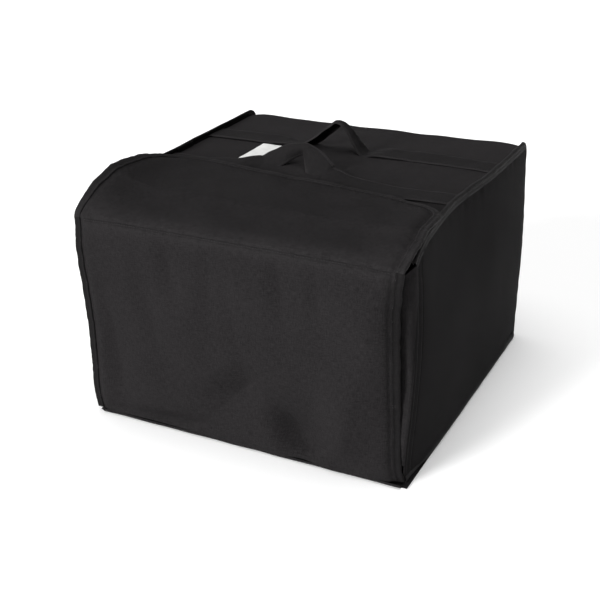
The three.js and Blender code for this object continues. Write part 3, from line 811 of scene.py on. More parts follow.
# Dents of the lid: (across, along, half width, half height, turn in degrees, depth)
LID_DENTS = (
    (-90, 120, 70, 22, 8, 0.9),
    (60, 90, 60, 24, -6, 0.8),
    (130, 150, 40, 30, 20, 0.7),
)


def lid_side_line():
    """The lid's middle seen from the side, as distances along it with depth and height"""
    start = CREASE[1:]
    rise = start + FLAP_UP[1:] * SLOPE_START
    end = np.array([start[0] + SLOPE_RUN, LID_MIDDLE])
    bend = np.array([end[0] - SLOPE_BEND, LID_MIDDLE - SLOPE_DROP])
    t = np.linspace(0, 1, 160)[:, None]
    curve = (1 - t) ** 3 * start + 3 * t * (1 - t) ** 2 * rise + 3 * t * t * (1 - t) * bend + t ** 3 * end
    line = np.concatenate([curve, joined(np.linspace(end[0] + 1, LID_REAR + 60, 60), LID_MIDDLE)])
    return run_along(line), line


LID_RUN, LID_LINE = lid_side_line()
LID_LENGTH = float(np.interp(LID_REAR, LID_LINE[:, 0], LID_RUN))


def lid_pull(x, share):
    """How far the lid is drawn towards the front, at a share of its length"""
    skew = LID_SKEW_SHARE * (x - LID_SKEW_START) * share ** 1.3
    return skew + LID_CORNER_PULL * climb(x, *LID_CORNER_ACROSS) * share ** 3


def lid_middle(x, along):
    x, along = np.broadcast_arrays(x, along)
    y, z = np.moveaxis(read_off(along, LID_RUN, LID_LINE), -1, 0)
    before = np.minimum(along, 0)
    share = np.clip(along / LID_LENGTH, 0, 1)
    ease = crease_ease(x, along)
    curl = np.clip((CURL_WIDTH - FLAP_HALF - x) / CURL_WIDTH, 0, 1.1) ** 2
    lift = CURL_HEIGHT * curl * np.sin(share ** 0.82 * math.pi) ** 0.9
    ride = RIDE_HEIGHT * climb(x, *RIDE_ACROSS) * climb(share, 0, RIDE_RISE_SHARE)
    shift = edge_shift(x, np.full(x.shape, FLAP_LENGTH)) * fade(along, LID_SHIFT_RUN)
    reach = RIDE_REACH * climb(x, *RIDE_REACH_ACROSS)
    shift = shift + reach * hill(along - RIDE_REACH_ALONG, RIDE_REACH_RUN)
    sway = (0.8 * swell(x, along, 110, 71) + 0.5 * swell(x, along, 55, 72)) * climb(along, 0, 30)
    y = y + before * FLAP_UP[1] + ease - lid_pull(x, share)
    return joined(x + shift, y, z + before * FLAP_UP[2] - ease + lift + ride + sway)


def lid_half(along):
    past = np.clip(along - (LID_LENGTH - LID_CORNER), 0, LID_CORNER)
    return FLAP_HALF - LID_CORNER + np.sqrt(LID_CORNER ** 2 - past ** 2)


def lid_edge_distance(x, along):
    over_x = np.abs(x) - (FLAP_HALF - LID_CORNER)
    over_y = along - (LID_LENGTH - LID_CORNER)
    straight = np.minimum(FLAP_HALF - np.abs(x), LID_LENGTH - along)
    return np.where((over_x > 0) & (over_y > 0), LID_CORNER - np.hypot(over_x, over_y), straight)


def lid_height(x, along):
    side = lid_edge_distance(x, along) - BARE_RUN
    height = pressed(puffed(side) + puckers(side, along + x, 81) * (side > -2), along)
    dents = 0
    for at_x, at_along, half_width, half_height, degrees, depth in LID_DENTS:
        across, down = turned(x, along, at_x, at_along, degrees)
        dents = dents + depth * hill(across, half_width) * hill(down, half_height)
    return np.maximum(height - dents * climb(side, 0, 30), BARE_HALF)


def lid_grid(step, start):
    corner = LID_LENGTH - LID_CORNER + LID_CORNER * np.sin(np.linspace(0, math.pi / 2, 34))
    along = np.concatenate([spaced(start, corner[0], step, (0,), 14, 1.0)[:-1], corner])[:, None]
    tapes = (BARE_RUN - FLAP_HALF, FLAP_HALF - BARE_RUN)
    across = spaced(-FLAP_HALF, FLAP_HALF, step, tapes, *TAPE_SIDE_FINE)
    return across[None, :] / FLAP_HALF * lid_half(along), along


def lid_edge():
    """The lid's edge from the left of the crease round the rear to the right, with the way in"""
    side = spaced(0, LID_LENGTH - LID_CORNER, 3)
    angle = np.linspace(0, math.pi / 2, 38)[1:]
    spoke = joined(np.cos(angle), np.sin(angle))
    arc = (FLAP_HALF - LID_CORNER, LID_LENGTH - LID_CORNER) + LID_CORNER * spoke
    right = np.concatenate([joined(FLAP_HALF, side), arc])
    way = np.concatenate([joined(-1, 0 * side), -spoke])
    rear_x = spaced(-FLAP_HALF + LID_CORNER, FLAP_HALF - LID_CORNER, 4)[1:-1]
    mirror = (-1, 1)
    edge = np.concatenate([right * mirror, joined(rear_x, LID_LENGTH), right[::-1]])
    inward = np.concatenate([way * mirror, joined(0 * rear_x, -1), way[::-1]])
    return edge, inward


def add_lid():
    x, along = lid_grid(FLAP_STEP, 0)
    wear_and_sheen = 0.3 * hill(along - 10, 12)
    top = panel_shell("lid_top_cloth", lid_middle, x, along, lid_height(x, along), CLOTH, wear_and_sheen)
    finish_piece(top, "outer_cloth", CREASE_BEND, ("lid_cloth", "lid_foam"))
    x, along = lid_grid(LINING_STEP, LINING_INSET)
    x = x * LINED_SHARE
    side = lid_edge_distance(x, along) - BARE_RUN
    deep = puffed(side, LINING_BARE, LINING_DEEPEST, LINING_RUN)
    depth = np.minimum(deep, puffed(along, LINING_BARE, LINING_FULL, LINING_RUN))
    inner = panel_shell("lid_inner_lining", lid_middle, x, along, -depth, LINING_CLOTH)
    finish_piece(inner, "foil_lining", CREASE_BEND, ("lid_lining",))
    edge, inward = lid_edge()
    tape = tape_on("lid_edge_tape", lid_middle, edge, inward, seed=91)
    finish_piece(tape, "binding_tape", CREASE_BEND, ("lid_binding",))
    stitching("lid_tape_stitches", [tape_stitches(lid_middle, edge, inward)], CREASE_BEND)


# Body: the wrap that makes the top, back and base in one
TOP_SWELL = 0.7
TOP_GROOVE = 1.2  # beside the standing seams
TOP_GROOVE_RUN = 5
BACK_SWELL = 0.9
BACK_RISE = 45  # the back swells out over about this height
TOP_REACH = 60  # below the top, the back flattens across and the sides rise over this distance
WRAP_STEP = 5
WRAP_LEAST_STEP = 0.8
WRAP_LINING_DEEP = 8.8
WRAP_LINING_STEP = 7
WRAP_LINING_LEAST_STEP = 1.5
WRAP_LINING_END = 3  # it stops before the base's front edge
LIP_SEWN = 12  # how far from the mouth the lining lies flat, and how deep it is there
LIP_DEPTH = 5.2
SILL_SEWN = 6  # the same at the base's front edge
SILL_DEPTH = 5.4
LIP_ROLL = 2.6
LIP_REACH = 9


def outline():
    """The wrap's outer face seen from the side: places along it, points and the ways out"""
    def arc(y, z, radius, start, end, steps):
        angles = np.radians(np.linspace(start, end, steps))
        ways = joined(np.cos(angles), np.sin(angles))
        return np.array([y, z]) + radius * ways, ways

    def straight(start, end, way, steps):
        shares = np.linspace(0, 1, steps)[1:-1, None]
        return start + (end - start) * shares, np.repeat([way], steps - 2, 0)

    rear = CLOTH_REAR - REAR_RADIUS
    droop_end = 90 + math.degrees(math.asin(DROOP_RUN / DROOP_RADIUS))
    droop = arc(DROOP_Y, CLOTH_TOP - DROOP_RADIUS, DROOP_RADIUS, droop_end, 90, 24)
    rear_top = arc(rear, CLOTH_TOP - REAR_RADIUS, REAR_RADIUS, 90, 0, 14)
    rear_base = arc(rear, REAR_RADIUS, REAR_RADIUS, 0, -90, 12)
    front = (np.array([[HINGE[1], 0.0]]), np.array([[0.0, -1.0]]))
    top = straight(droop[0][-1], rear_top[0][0], (0, 1), 90)
    back = straight(rear_top[0][-1], rear_base[0][0], (1, 0), 70)
    base = straight(rear_base[0][-1], front[0][0], (0, -1), 90)
    parts = (droop, top, rear_top, back, rear_base, base, front)
    points, ways = (np.concatenate(part) for part in zip(*parts))
    return run_along(points), points, ways


WRAP_RUN, WRAP_POINTS, WRAP_WAYS = outline()


def wrap_way(run):
    """The way out of the wrap, as depth along the bag and height"""
    return unit(read_off(run, WRAP_RUN, WRAP_WAYS))


def wrap_at(run, depth=0.0):
    """Points of the wrap at a depth inside its outer face, as depth along the bag and height"""
    depth = np.broadcast_to(depth, run.shape)[..., None]
    return read_off(run, WRAP_RUN, WRAP_POINTS) - wrap_way(run) * depth


def between_seams(x, full, power):
    """How far a panel stands out at a place across: full is 1 where it is held flat to its seams"""
    share = np.clip(np.abs(x) / WRAP_HALF, 0, 1)
    return (1 - share ** power) * (1 - full) + (1 - share ** 14) * full


def top_crown(x, y):
    """How far the top panel stands above its seams, behind the lid"""
    across = between_seams(x, climb(y - CLOTH_REAR, -65, -5), 2.4)
    groove = TOP_GROOVE * np.exp(-(WRAP_HALF - np.abs(x)) / TOP_GROOVE_RUN)
    behind_lid = climb(y - LID_REAR, -26, 44)
    return across * (TOP_CROWN + TOP_SWELL * swell(x, y, 70, 101)) * behind_lid + TOP_LIFT - groove


def back_bulge(x, z):
    across = between_seams(x, climb(z - CLOTH_TOP, -TOP_REACH, 0), 2.6)
    return across * (1 - fade(z, BACK_RISE)) * (BACK_BULGE + BACK_SWELL * swell(x, z, 80, 103))


def wrap_outer(x, run):
    """The wrap's outer face with its crown, bulge and rolls"""
    x, run = np.broadcast_arrays(x, run)
    at = wrap_at(run)
    y, z = at[..., 0], at[..., 1]
    on_top = climb(z, CLOTH_TOP - REAR_RADIUS, CLOTH_TOP) * (y > DROOP_Y)
    on_back = climb(y, CLOTH_REAR - REAR_RADIUS, CLOTH_REAR)
    out = top_crown(x, y) * on_top + back_bulge(x, z) * on_back - LIP_ROLL * fade(run, LIP_REACH)
    at = at + wrap_way(run) * out[..., None]
    return settled(x, at[..., 0], at[..., 1])


def top_surface(x, y):
    """The top cloth, given by its place across and along the bag"""
    return settled(x, y, CLOTH_TOP + top_crown(x, y))


def thinned(values, least):
    """Values with those left out that lie too near the one before"""
    return values[np.concatenate([[True], np.diff(values) > least])]


def add_wrap():
    x = spaced(-WRAP_HALF, WRAP_HALF, WRAP_STEP, (-WRAP_HALF, WRAP_HALF), 12, 2)[None, :]
    run = np.unique(np.concatenate([np.arange(0, WRAP_RUN[-1], WRAP_STEP), WRAP_RUN]))
    run = thinned(run, WRAP_LEAST_STEP)[:, None]
    outer = wrap_outer(x, run)
    way = wrap_way(run)
    inner = outer - CLOTH * joined(0, way[..., 0], way[..., 1])
    # Painted sheen: the wrap's top is painted paler towards the rear with the worn grey, standing in for
    # light caught at a grazing angle; the paler edges beside the seams are wear
    painted_rear_sheen = 0.35 * climb(outer[..., 1], -60, 100) * (outer[..., 2] > CLOTH_TOP - 2)
    wear_and_sheen = 0.25 * fade(WRAP_HALF - np.abs(x), 10) + painted_rear_sheen
    wrap = shell("wrap_outer_cloth", outer, inner, joined(x, run), wear_and_sheen)
    nodes = ("top_back_cloth", "top_foam", "back_foam", "base_cloth", "base_foam")
    finish_piece(wrap, "outer_cloth", "carcass", nodes)


def add_wrap_lining():
    """Silver lining inside the top, back and base, in one"""
    x = spaced(-LINING_HALF, LINING_HALF, WRAP_LINING_STEP)[None, :]
    last = WRAP_RUN[-1] - WRAP_LINING_END
    corners = WRAP_RUN[(WRAP_RUN > 1) & (WRAP_RUN < last)]
    run = np.unique(np.concatenate([np.arange(1, last, WRAP_LINING_STEP), corners]))
    run = thinned(run, WRAP_LINING_LEAST_STEP)[:, None]
    lip = puffed(run - LIP_SEWN, LIP_DEPTH, WRAP_LINING_DEEP, LINING_RUN)
    sill = puffed(last - run - SILL_SEWN, SILL_DEPTH, WRAP_LINING_DEEP, LINING_RUN)
    sag = 0.8 * swell(x, run, 45, 111) * climb(WRAP_HALF - np.abs(x), 0, 40) * climb(run, 60, 120)
    sag = 0.6 * np.abs(sag) * climb(last - run, 40, 80)

    def laid(extra):
        flat = wrap_at(run + 0 * x, np.minimum(lip, sill) + sag + extra)
        return settled(x, flat[..., 0], flat[..., 1])

    lining = shell("wrap_inner_lining", laid(0.0), laid(LINING_CLOTH), joined(x, run))
    finish_piece(lining, "foil_lining", "carcass", ("top_back_lining", "base_lining"))


# Body: side panels, given by depth along the bag and height
SIDE_FRONT_EDGE = (
    (0, -219), (30, -221), (60, -221), (109, -216), (150, -211), (200, -208), (250, -208), (275, -211),
)
SIDE_FOOT_IN = 6
SIDE_FOOT_REACH = 60
SIDE_FOOT_HEIGHT = 75
SIDE_INSET = 0.4
SIDE_RUN = 22  # a side swells to its full bulge over about this distance
SIDE_FRONT_ROWS = 17  # finely spaced points behind the front edge, and how far they reach
SIDE_FRONT_REACH = 20
SIDE_HEM = 10  # a side is flat this far behind its front edge
SIDE_FRONT_RUN = 20
SIDE_BASE_RUN = 26
SIDE_SWELL = 1.1
GATHER_FROM = 20  # no gathers lower down than this
SIDE_LINING_SEWN = 4
SIDE_LINING_DEPTH = 2.6
SIDE_ROLL = 2.4  # how far the side's foot rolls in, and its front edge
SIDE_FRONT_ROLL = 2.2
SIDE_LINING_INSET = 11
STITCH_BACK = (6.0, 15.0)  # the two rows of stitches behind a side's front edge
STITCH_TOP = 262
STITCH_DENT = 0.7
STITCH_DENT_HALF = 1.7


def side_front(z):
    return along_table(SIDE_FRONT_EDGE, z)


def side_foot(y, z):
    """How far the front foot of a side is drawn in"""
    return SIDE_FOOT_IN * hill(y - side_front(z), SIDE_FOOT_REACH) * hill(z, SIDE_FOOT_HEIGHT)


def side_limits(z):
    """Where a side starts and ends along the bag at a height"""
    def cut(centre_y, centre_z, radius, sign):
        return centre_y + sign * np.sqrt(np.maximum(radius ** 2 - (z - centre_z) ** 2, 0))

    top_z = CLOTH_TOP - REAR_RADIUS
    rear = np.where(z > top_z, cut(CLOTH_REAR - REAR_RADIUS, top_z, REAR_RADIUS, 1), CLOTH_REAR)
    rear = np.where(z < REAR_RADIUS, cut(CLOTH_REAR - REAR_RADIUS, REAR_RADIUS, REAR_RADIUS, 1), rear)
    droop_z = CLOTH_TOP - DROOP_RADIUS
    droop = np.where(z > droop_z, cut(DROOP_Y, droop_z, DROOP_RADIUS, -1), HINGE[1])
    return np.maximum(side_front(z), droop), rear


def side_surface(sign):
    """The side's outer cloth, bulging between its seams"""
    seed = 121 if sign > 0 else 131

    def surface(y, z):
        front = y - side_front(z)
        top, rear = CLOTH_TOP - z, CLOTH_REAR - y
        edges = (1 - fade(front - SIDE_HEM, SIDE_FRONT_RUN)) * (1 - fade(z, SIDE_BASE_RUN))
        edges = edges * (1 - fade(top, SIDE_RUN)) * (1 - fade(rear, SIDE_RUN))
        swells = SIDE_SWELL * swell(y, z, 150, seed) + 0.2 * swell(y, z * 0.5, 60, seed + 1)
        bulge = edges * (SIDE_BULGE + swells)
        gather = puckers(top, y, seed + 2, 0.5, 12) + puckers(rear, z, seed + 4, 0.5, 12)
        lines = sum(STITCH_DENT * hill(front - back, STITCH_DENT_HALF) for back in STITCH_BACK)
        roll = SIDE_ROLL * fade(z, 2.0) + SIDE_FRONT_ROLL * fade(front + 1, 5)
        x = HALF_WIDTH - SIDE_INSET + bulge + gather * (z > GATHER_FROM) - lines - roll - side_foot(y, z)
        return settled(sign * x, y, z + TOP_LIFT * climb(z, CLOTH_TOP - TOP_REACH, CLOTH_TOP))

    return surface


def add_side(side, sign):
    surface = side_surface(sign)
    last = CLOTH_TOP - 0.3
    z = spaced(0, CLOTH_TOP + 0.6, 4.5, (0, CLOTH_TOP), 10, 1.5)
    z = np.concatenate([z[z < last], [last]])[:, None]
    front, rear = side_limits(z)
    near = np.linspace(0, SIDE_FRONT_REACH, SIDE_FRONT_ROWS)
    shares = (spaced(20, 1000, 1000 / 90)[1:] - 20) / 980
    room = np.maximum(rear - front - SIDE_FRONT_REACH, 1)
    y = np.concatenate([front + near[None, :], front + SIDE_FRONT_REACH + shares[None, :] * room], axis=1)
    outer = surface(y, z)
    wear_and_sheen = 0.2 * hill(z, 8)
    panel = shell(f"side_outer_cloth_{side}", outer, outer - (sign * CLOTH, 0, 0), joined(y, z), wear_and_sheen)
    nodes = (f"side_cloth_{side}", f"side_foam_{side}")
    # Painted shade: the sides take the darker side cloth, a shaded copy of the outer cloth
    finish_piece(panel, "outer_cloth", "carcass", nodes, finish="side_cloth")


def add_side_lining(side, sign):
    z = spaced(SIDE_LINING_INSET, CLOTH_TOP - SIDE_LINING_INSET, WRAP_LINING_STEP)[:, None]
    front, rear = side_limits(z)
    rear = np.minimum(rear, CLOTH_REAR) - SIDE_LINING_INSET
    share = np.concatenate([np.linspace(0, 0.08, 8), np.linspace(0.08, 1, 50)[1:]])[None, :]
    y = front + 1 + share * (rear - front - 1)
    deep = puffed(y - front - SIDE_LINING_SEWN, SIDE_LINING_DEPTH, WRAP_LINING_DEEP, LINING_RUN)
    deep = deep + 0.7 * np.abs(swell(y, z, 45, 141 + sign)) * climb(share, 0, 1 / 6)
    face = settled(sign * (HALF_WIDTH - deep - side_foot(y, z)), y, z)
    lining = shell(f"side_inner_lining_{side}", face, face - (sign * LINING_CLOTH, 0, 0), joined(y, z))
    finish_piece(lining, "foil_lining", "carcass", (f"side_lining_{side}",))


def facing(points, sign):
    """A row of stitch points with the direction that they face, to the left or right"""
    return points, np.repeat([[float(sign), 0, 0]], len(points), 0)


def add_side_stitches(side, sign):
    height = spaced(4, STITCH_TOP, 5)
    rows = []
    for back in STITCH_BACK:
        points = side_surface(sign)(side_front(height) + back, height)
        rows.append(facing(points + (sign * STITCH_LIFT, 0, 0), sign))
    stitching(f"side_stitches_{side}", rows, "carcass")


# Body: bound seams standing up along the top and down the back of each side. The section is given as
# distances off the seam's middle and out from the wrap.
FIN_HALF = 2.25
FIN_SECTION = (
    (2.5, -1.6), (2.3, 0.4), (2.0, 2.0), (1.8, 3.2), (2.1, 4.6), (2.5, 6.4), (2.6, 8.2), (2.4, 9.4),
    (1.8, 10.2), (0.9, 10.6),
)
FIN_GROOVE = 3  # the point of the section where the stitches lie
FIN_TALL = FIN_SECTION[-1][1]
FIN_SQUARENESS = 0.3
FIN_SHARE = 0.72
FIN_CORE_SHARE = 0.7
FIN_LEAN = 3.5  # how far the right seam's tip leans in over the top
FIN_UNDER_LID = 0.5  # room between the seam and the lid's tape
FIN_LID_RUN = 14  # behind the lid the seam rises over this distance
FIN_END_RUN = 6  # and at the floor it sinks over this one
FIN_FLOOR_GAP = 0.3
FIN_WORN_FROM = 8
FIN_WORN_RUN = 3


def fin_line():
    """Places along the outline where the bound seam runs, from the mouth down to the floor"""
    on_back = (WRAP_POINTS[:, 0] > CLOTH_REAR - 0.5) & (WRAP_POINTS[:, 1] > REAR_RADIUS - 1)
    return spaced(1.5, WRAP_RUN[on_back].max() + REAR_RADIUS * 0.6, 3)


def lid_underside(x, y):
    """Height of the underside of the lid's edge at a place across and along the bag"""
    line = lid_middle(x, spaced(0, LID_LENGTH, 4))
    thick = max(height for _, height, _ in TAPE_SECTION)
    return np.interp(y, line[:, 1], line[:, 2]) - thick - FIN_UNDER_LID


def fin_height(run, base, middle, seed):
    """How tall the seam stands, as a share of its section: less under the lid and at the floor"""
    centre, ways = wrap_at(run), wrap_way(run)
    corner = 1 + FIN_SQUARENESS * 2 * np.maximum(ways[:, 0] * ways[:, 1], 0) * (centre[:, 0] > 0)
    tall = FIN_SHARE + 0.05 * ripple(run, 60, seed)
    lid_end = LID_REAR - lid_pull(middle, 1.0) - LID_CORNER * 0.45
    covered = climb(lid_end - centre[:, 0], 0, FIN_LID_RUN)
    room = lid_underside(middle, base[:, 1]) - base[:, 2]
    under_lid = np.minimum(tall, room / FIN_TALL / np.maximum(ways[:, 1], 0.5))
    tall = (tall + (under_lid - tall) * covered) * corner
    return tall * (1 - 0.6 * climb(run - run[-1], -FIN_END_RUN, 0))


def add_fin(side, sign):
    run = fin_line()
    ways = wrap_way(run)
    across, stand = np.array(FIN_SECTION).T
    across, stand = np.concatenate([across, -across[::-1]]), np.concatenate([stand, stand[::-1]])
    seed = 151 if sign > 0 else 161
    middle = sign * (HALF_WIDTH - FIN_HALF)
    lifted = wrap_at(run) + ways * (TOP_LIFT * np.maximum(ways[:, 1:], 0))
    base = settled(middle, lifted[:, 0], lifted[:, 1])
    tall = fin_height(run, base, middle, seed)
    lean = 0.9 * ripple(run, 75, seed + 1) + 0.35 * ripple(run, 22, seed + 2) - FIN_LEAN * (sign > 0)
    wide = 1 + 0.1 * ripple(run, 17, seed + 3)
    rise = np.maximum(stand, 0) * tall[:, None] + np.minimum(stand, 0)
    x = base[:, :1] + across * wide[:, None] + lean[:, None] * (np.maximum(rise, 0) / FIN_TALL) ** 1.4
    at = base[:, None, 1:] + ways[:, None, :] * rise[..., None]
    rings = joined(x, at[..., 0], np.maximum(at[..., 1], FIN_FLOOR_GAP))
    heart = rings.mean(1, keepdims=True)
    inner = heart + (rings - heart) * FIN_CORE_SHARE
    wear_and_sheen = 0.5 * np.clip((rise - FIN_WORN_FROM) / FIN_WORN_RUN, 0, 1)
    folded_tape = np.concatenate([rings, inner[:, ::-1]], axis=1)
    fin = loft(f"seam_edge_tape_{side}", folded_tape, wear_and_sheen=np.concatenate([wear_and_sheen, 0 * wear_and_sheen], axis=1))
    # Painted shade: the left seam takes the darker seam tape, a shaded copy of the binding tape
    look = "seam_tape" if sign < 0 else "binding_tape"
    finish_piece(fin, "binding_tape", "carcass", (f"seam_binding_{side}",), finish=look)
    rows = []
    for face, column in ((1, FIN_GROOVE), (-1, len(across) - 1 - FIN_GROOVE)):
        rows.append(facing(rings[:, column] + (face * BAND_STITCH_LIFT, 0, 0), face))
    stitching(f"seam_stitches_{side}", rows, "carcass")


BASE_TAPE_SET_IN = 0.9
BASE_TAPE_BOW = 1.5
BASE_TAPE_BACK = 1.6
BASE_TAPE_DROP = 0.6


def add_base_tape(side, sign):
    """A low tape along the bottom edge of a side"""
    low, high = box_of(f"base_binding_{side}")
    y = spaced(low[1], high[1], 4)[:, None]
    tall = high[2] - low[2]
    shares = np.linspace(0, 1, 9)
    bow = np.sqrt(np.clip(np.sin(shares * math.pi), 0, 1))
    face = HALF_WIDTH - BASE_TAPE_SET_IN + BASE_TAPE_BOW * bow
    z = low[2] - BASE_TAPE_DROP + shares * tall + 0.3 * ripple(y, 60, 173 + sign)
    foot = side_foot(y, z)
    outer = joined(sign * (face + 0.25 * ripple(y, 25, 171 + sign) - foot), y, z)
    inner = joined(sign * (HALF_WIDTH - BASE_TAPE_BACK - foot), y, z)
    tape = shell(f"base_edge_tape_{side}", outer, inner)
    finish_piece(tape, "binding_tape", "carcass", (f"base_binding_{side}",))


MOUTH_TAPE_SCALE = 0.62
MOUTH_STITCH_IN = 7.7
MOUTH_STITCH_UP = 1.9


def mouth_lip(x, run):
    """The middle of the wrap at the mouth, going straight on past its edge"""
    x, run = np.broadcast_arrays(x, run)
    first, second = wrap_at(np.array([0.0, 4.0]), FULL_HALF)
    flat = wrap_at(np.maximum(run, 0), FULL_HALF) + np.minimum(run, 0)[..., None] * unit(second - first)
    return settled(x, flat[..., 0], flat[..., 1])


def add_mouth_tape():
    x = spaced(-WRAP_HALF + 2, WRAP_HALF - 2, 5)
    tape = tape_on("mouth_edge_tape", mouth_lip, joined(x, 0 * x), joined(0 * x, 1), MOUTH_TAPE_SCALE, 181)
    finish_piece(tape, "binding_tape", "carcass", ("mouth_binding",))
    row = on_surface(mouth_lip, x, MOUTH_STITCH_IN, MOUTH_STITCH_UP)
    stitching("mouth_tape_stitches", [row], "carcass")


HEM_INSET = 6
HEM_FLOOR = 0.05  # how near to the floor it may come


def add_hem():
    """The cloth that turns under the flap at the floor"""
    turn = np.radians(np.linspace(-8, 98, 18))[:, None]
    half = WRAP_HALF - HEM_INSET
    x = spaced(-half, half, 5)[None, :]
    drawn = 0.004 * (1 - climb(half - np.abs(x), 0, 8))

    def laid(radius):
        r = radius + 0.25 * swell(x, turn * 20, 50, 191)
        y, z = HINGE[1] - r * np.sin(turn), HINGE[2] - r * np.cos(turn)
        return joined(x * (1 - drawn), y, np.maximum(z, HEM_FLOOR))

    hem = shell("hinge_hem_cloth", laid(FULL_HALF + 0.1), laid(FULL_HALF - CLOTH))
    bend = ("carcass", "flap", HINGE + (0, 0.5, -FULL_HALF), HINGE + (0, -FULL_HALF, 1.0))
    finish_piece(hem, "outer_cloth", bend, ("hinge_fold",))


# Straps: each lies flat from seam to seam and stands up in the middle as a handle. A station gives the
# strap's middle, how far its front edge is rolled up and its width is turned round, in degrees, and
# its width as a share of the full one. Heights are above the top panel.
STRAP_HALF = 20
STRAP_REST = 1.9
STRAP_SETTLE = 6
STRAP_THICK = 0.9
STRAP_STEP = 2.2
STRAP_CUP = 11  # how far the edges of a gathered strap turn down
STRAP_SECTION_SHARES = (
    (-1.0, 0.0), (-0.985, 0.75), (-0.93, 1.05), (-0.84, 0.72), (-0.76, 1.0), (-0.4, 1.12), (0.0, 1.06),
    (0.4, 1.12), (0.76, 1.0), (0.84, 0.72), (0.93, 1.05), (0.985, 0.75),
)
STITCH_WAY_SHARE = 0.84
STRAP_STATIONS = {
    "rear": (
        (-219.8, 104, 1.9, 0, 0, 1), (-160, 101, 3.2, 0, 0, 1), (-118, 99, 6, 0, 0, 1),
        (-88, 100, 9, 10, 0, 0.92), (-68, 100, 14, 18, 0, 0.76), (-50, 98, 25, 26, 0, 0.6),
        (-36, 96, 37, 30, 0, 0.54), (-25, 95, 46, 30, 0, 0.5), (-14, 95, 54, 28, 0, 0.48),
        (-3, 95, 52, 26, 8, 0.48), (8, 94, 43, 20, 16, 0.5), (18, 93, 29, 12, 18, 0.56),
        (30, 93, 14, 6, 12, 0.7), (47, 95, 6, 2, 4, 0.9), (68, 98, 3, 0, 0, 1), (100, 101.5, 2.4, -2, 0, 1),
        (219.8, 102, 1.9, 0, 0, 1),
    ),
    "front": (
        (-219.8, -28, 1.9, 0, 0, 1), (-140, -26, 3, 0, 0, 1), (-106, -19, 5, -4, 0, 1),
        (-84, -8, 11, -18, 0, 0.95), (-66, 3, 20, -44, 4, 0.8), (-49, 8, 30, -62, 10, 0.62),
        (-35, 9, 35, -68, 22, 0.46), (-27, 9, 37.5, -60, 38, 0.42), (-17, 5, 34, -46, 52, 0.58),
        (-6, -1, 27, -34, 58, 0.8), (5, -8, 18, -24, 54, 0.95), (18, -16, 10, -14, 42, 1),
        (38, -25, 4.4, -5, 22, 1), (68, -33, 2.4, -3, 8, 1), (112, -38, 1.7, -1, 0, 1),
        (219.8, -42, 1.6, 0, 0, 1),
    ),
}
HANDLE_BEND_HEIGHTS = (7, 20)  # above the joint's axis


def along_stations(stations):
    """Smooth values through the stations, at even steps along the strap"""
    table = np.array(stations, float)
    run = run_along(table[:, :3])
    slope = np.gradient(table, run, axis=0)
    at = np.linspace(0, run[-1], int(run[-1] / STRAP_STEP))
    i = np.clip(np.searchsorted(run, at, side="right") - 1, 0, len(run) - 2)
    gap = (run[i + 1] - run[i])[:, None]
    k = (at - run[i])[:, None] / gap
    ends = (2 * k ** 3 - 3 * k * k + 1) * table[i] + (3 * k * k - 2 * k ** 3) * table[i + 1]
    return ends + gap * ((k ** 3 - 2 * k * k + k) * slope[i] + (k ** 3 - k * k) * slope[i + 1])


def add_strap(name, stations):
    seed = 201 if name == "rear" else 211
    strap = along_stations(stations)
    centre = strap[:, :3] + (0, 0, CLOTH_TOP)
    flat = 1 - climb(strap[:, 2] - STRAP_REST, 0, 12)
    centre[:, 2] += top_crown(centre[:, 0], centre[:, 1]) * flat - STRAP_SETTLE * (1 - flat)
    roll, turn = np.radians(strap[:, 3:5]).T
    across = joined(np.sin(turn) * np.cos(roll), np.cos(turn) * np.cos(roll), -np.sin(roll))
    ahead = unit(np.gradient(centre, axis=0))
    across = unit(across - (across * ahead).sum(-1, keepdims=True) * ahead)
    up = np.cross(ahead, across)
    shares = np.array(STRAP_SECTION_SHARES)
    wide, thick = np.concatenate([shares, shares[::-1] * (1, -1)]).T[:, None, :]
    run = np.arange(len(strap))[:, None] * STRAP_STEP
    narrow = strap[:, 5:]
    half = STRAP_HALF * narrow * (1 + 0.012 * ripple(run, 60, seed))
    cup = STRAP_CUP * (1 - narrow) * wide ** 2
    wavy = (0.35 * ripple(run, 34, seed + 1) + 0.5 * (1 - narrow) * ripple(run, 15, seed + 2)) * wide
    off = thick * STRAP_THICK + wavy - cup
    laid = centre[:, None] + across[:, None] * (wide * half)[..., None] + up[:, None] * off[..., None]
    rings = settled(*np.moveaxis(laid, -1, 0))
    piece = loft(f"{name}_carry_strap", rings, wear_and_sheen=np.clip((np.abs(wide) - 0.86) * 8, 0, 0.35))
    axis = joint_at[f"{name}_handle_tilt"]
    start, end = (axis + (0, 0, height) for height in HANDLE_BEND_HEIGHTS)
    bend = ("carcass", f"{name}_handle", start, end)
    parts = ("strap_left", "strap_right", "leg_left", "leg_right", "grip")
    finish_piece(piece, "webbing", bend, [f"{name}_{part}" for part in parts])
    rows = []
    for column in np.flatnonzero(np.abs(shares[:, 0]) == STITCH_WAY_SHARE):
        rows.append((rings[:, column] + up * BAND_STITCH_LIFT, up))
        rows.append((rings[:, wide.shape[1] - 1 - column] - up * BAND_STITCH_LIFT, -up))
    stitching(f"{name}_strap_stitches", rows, bend)


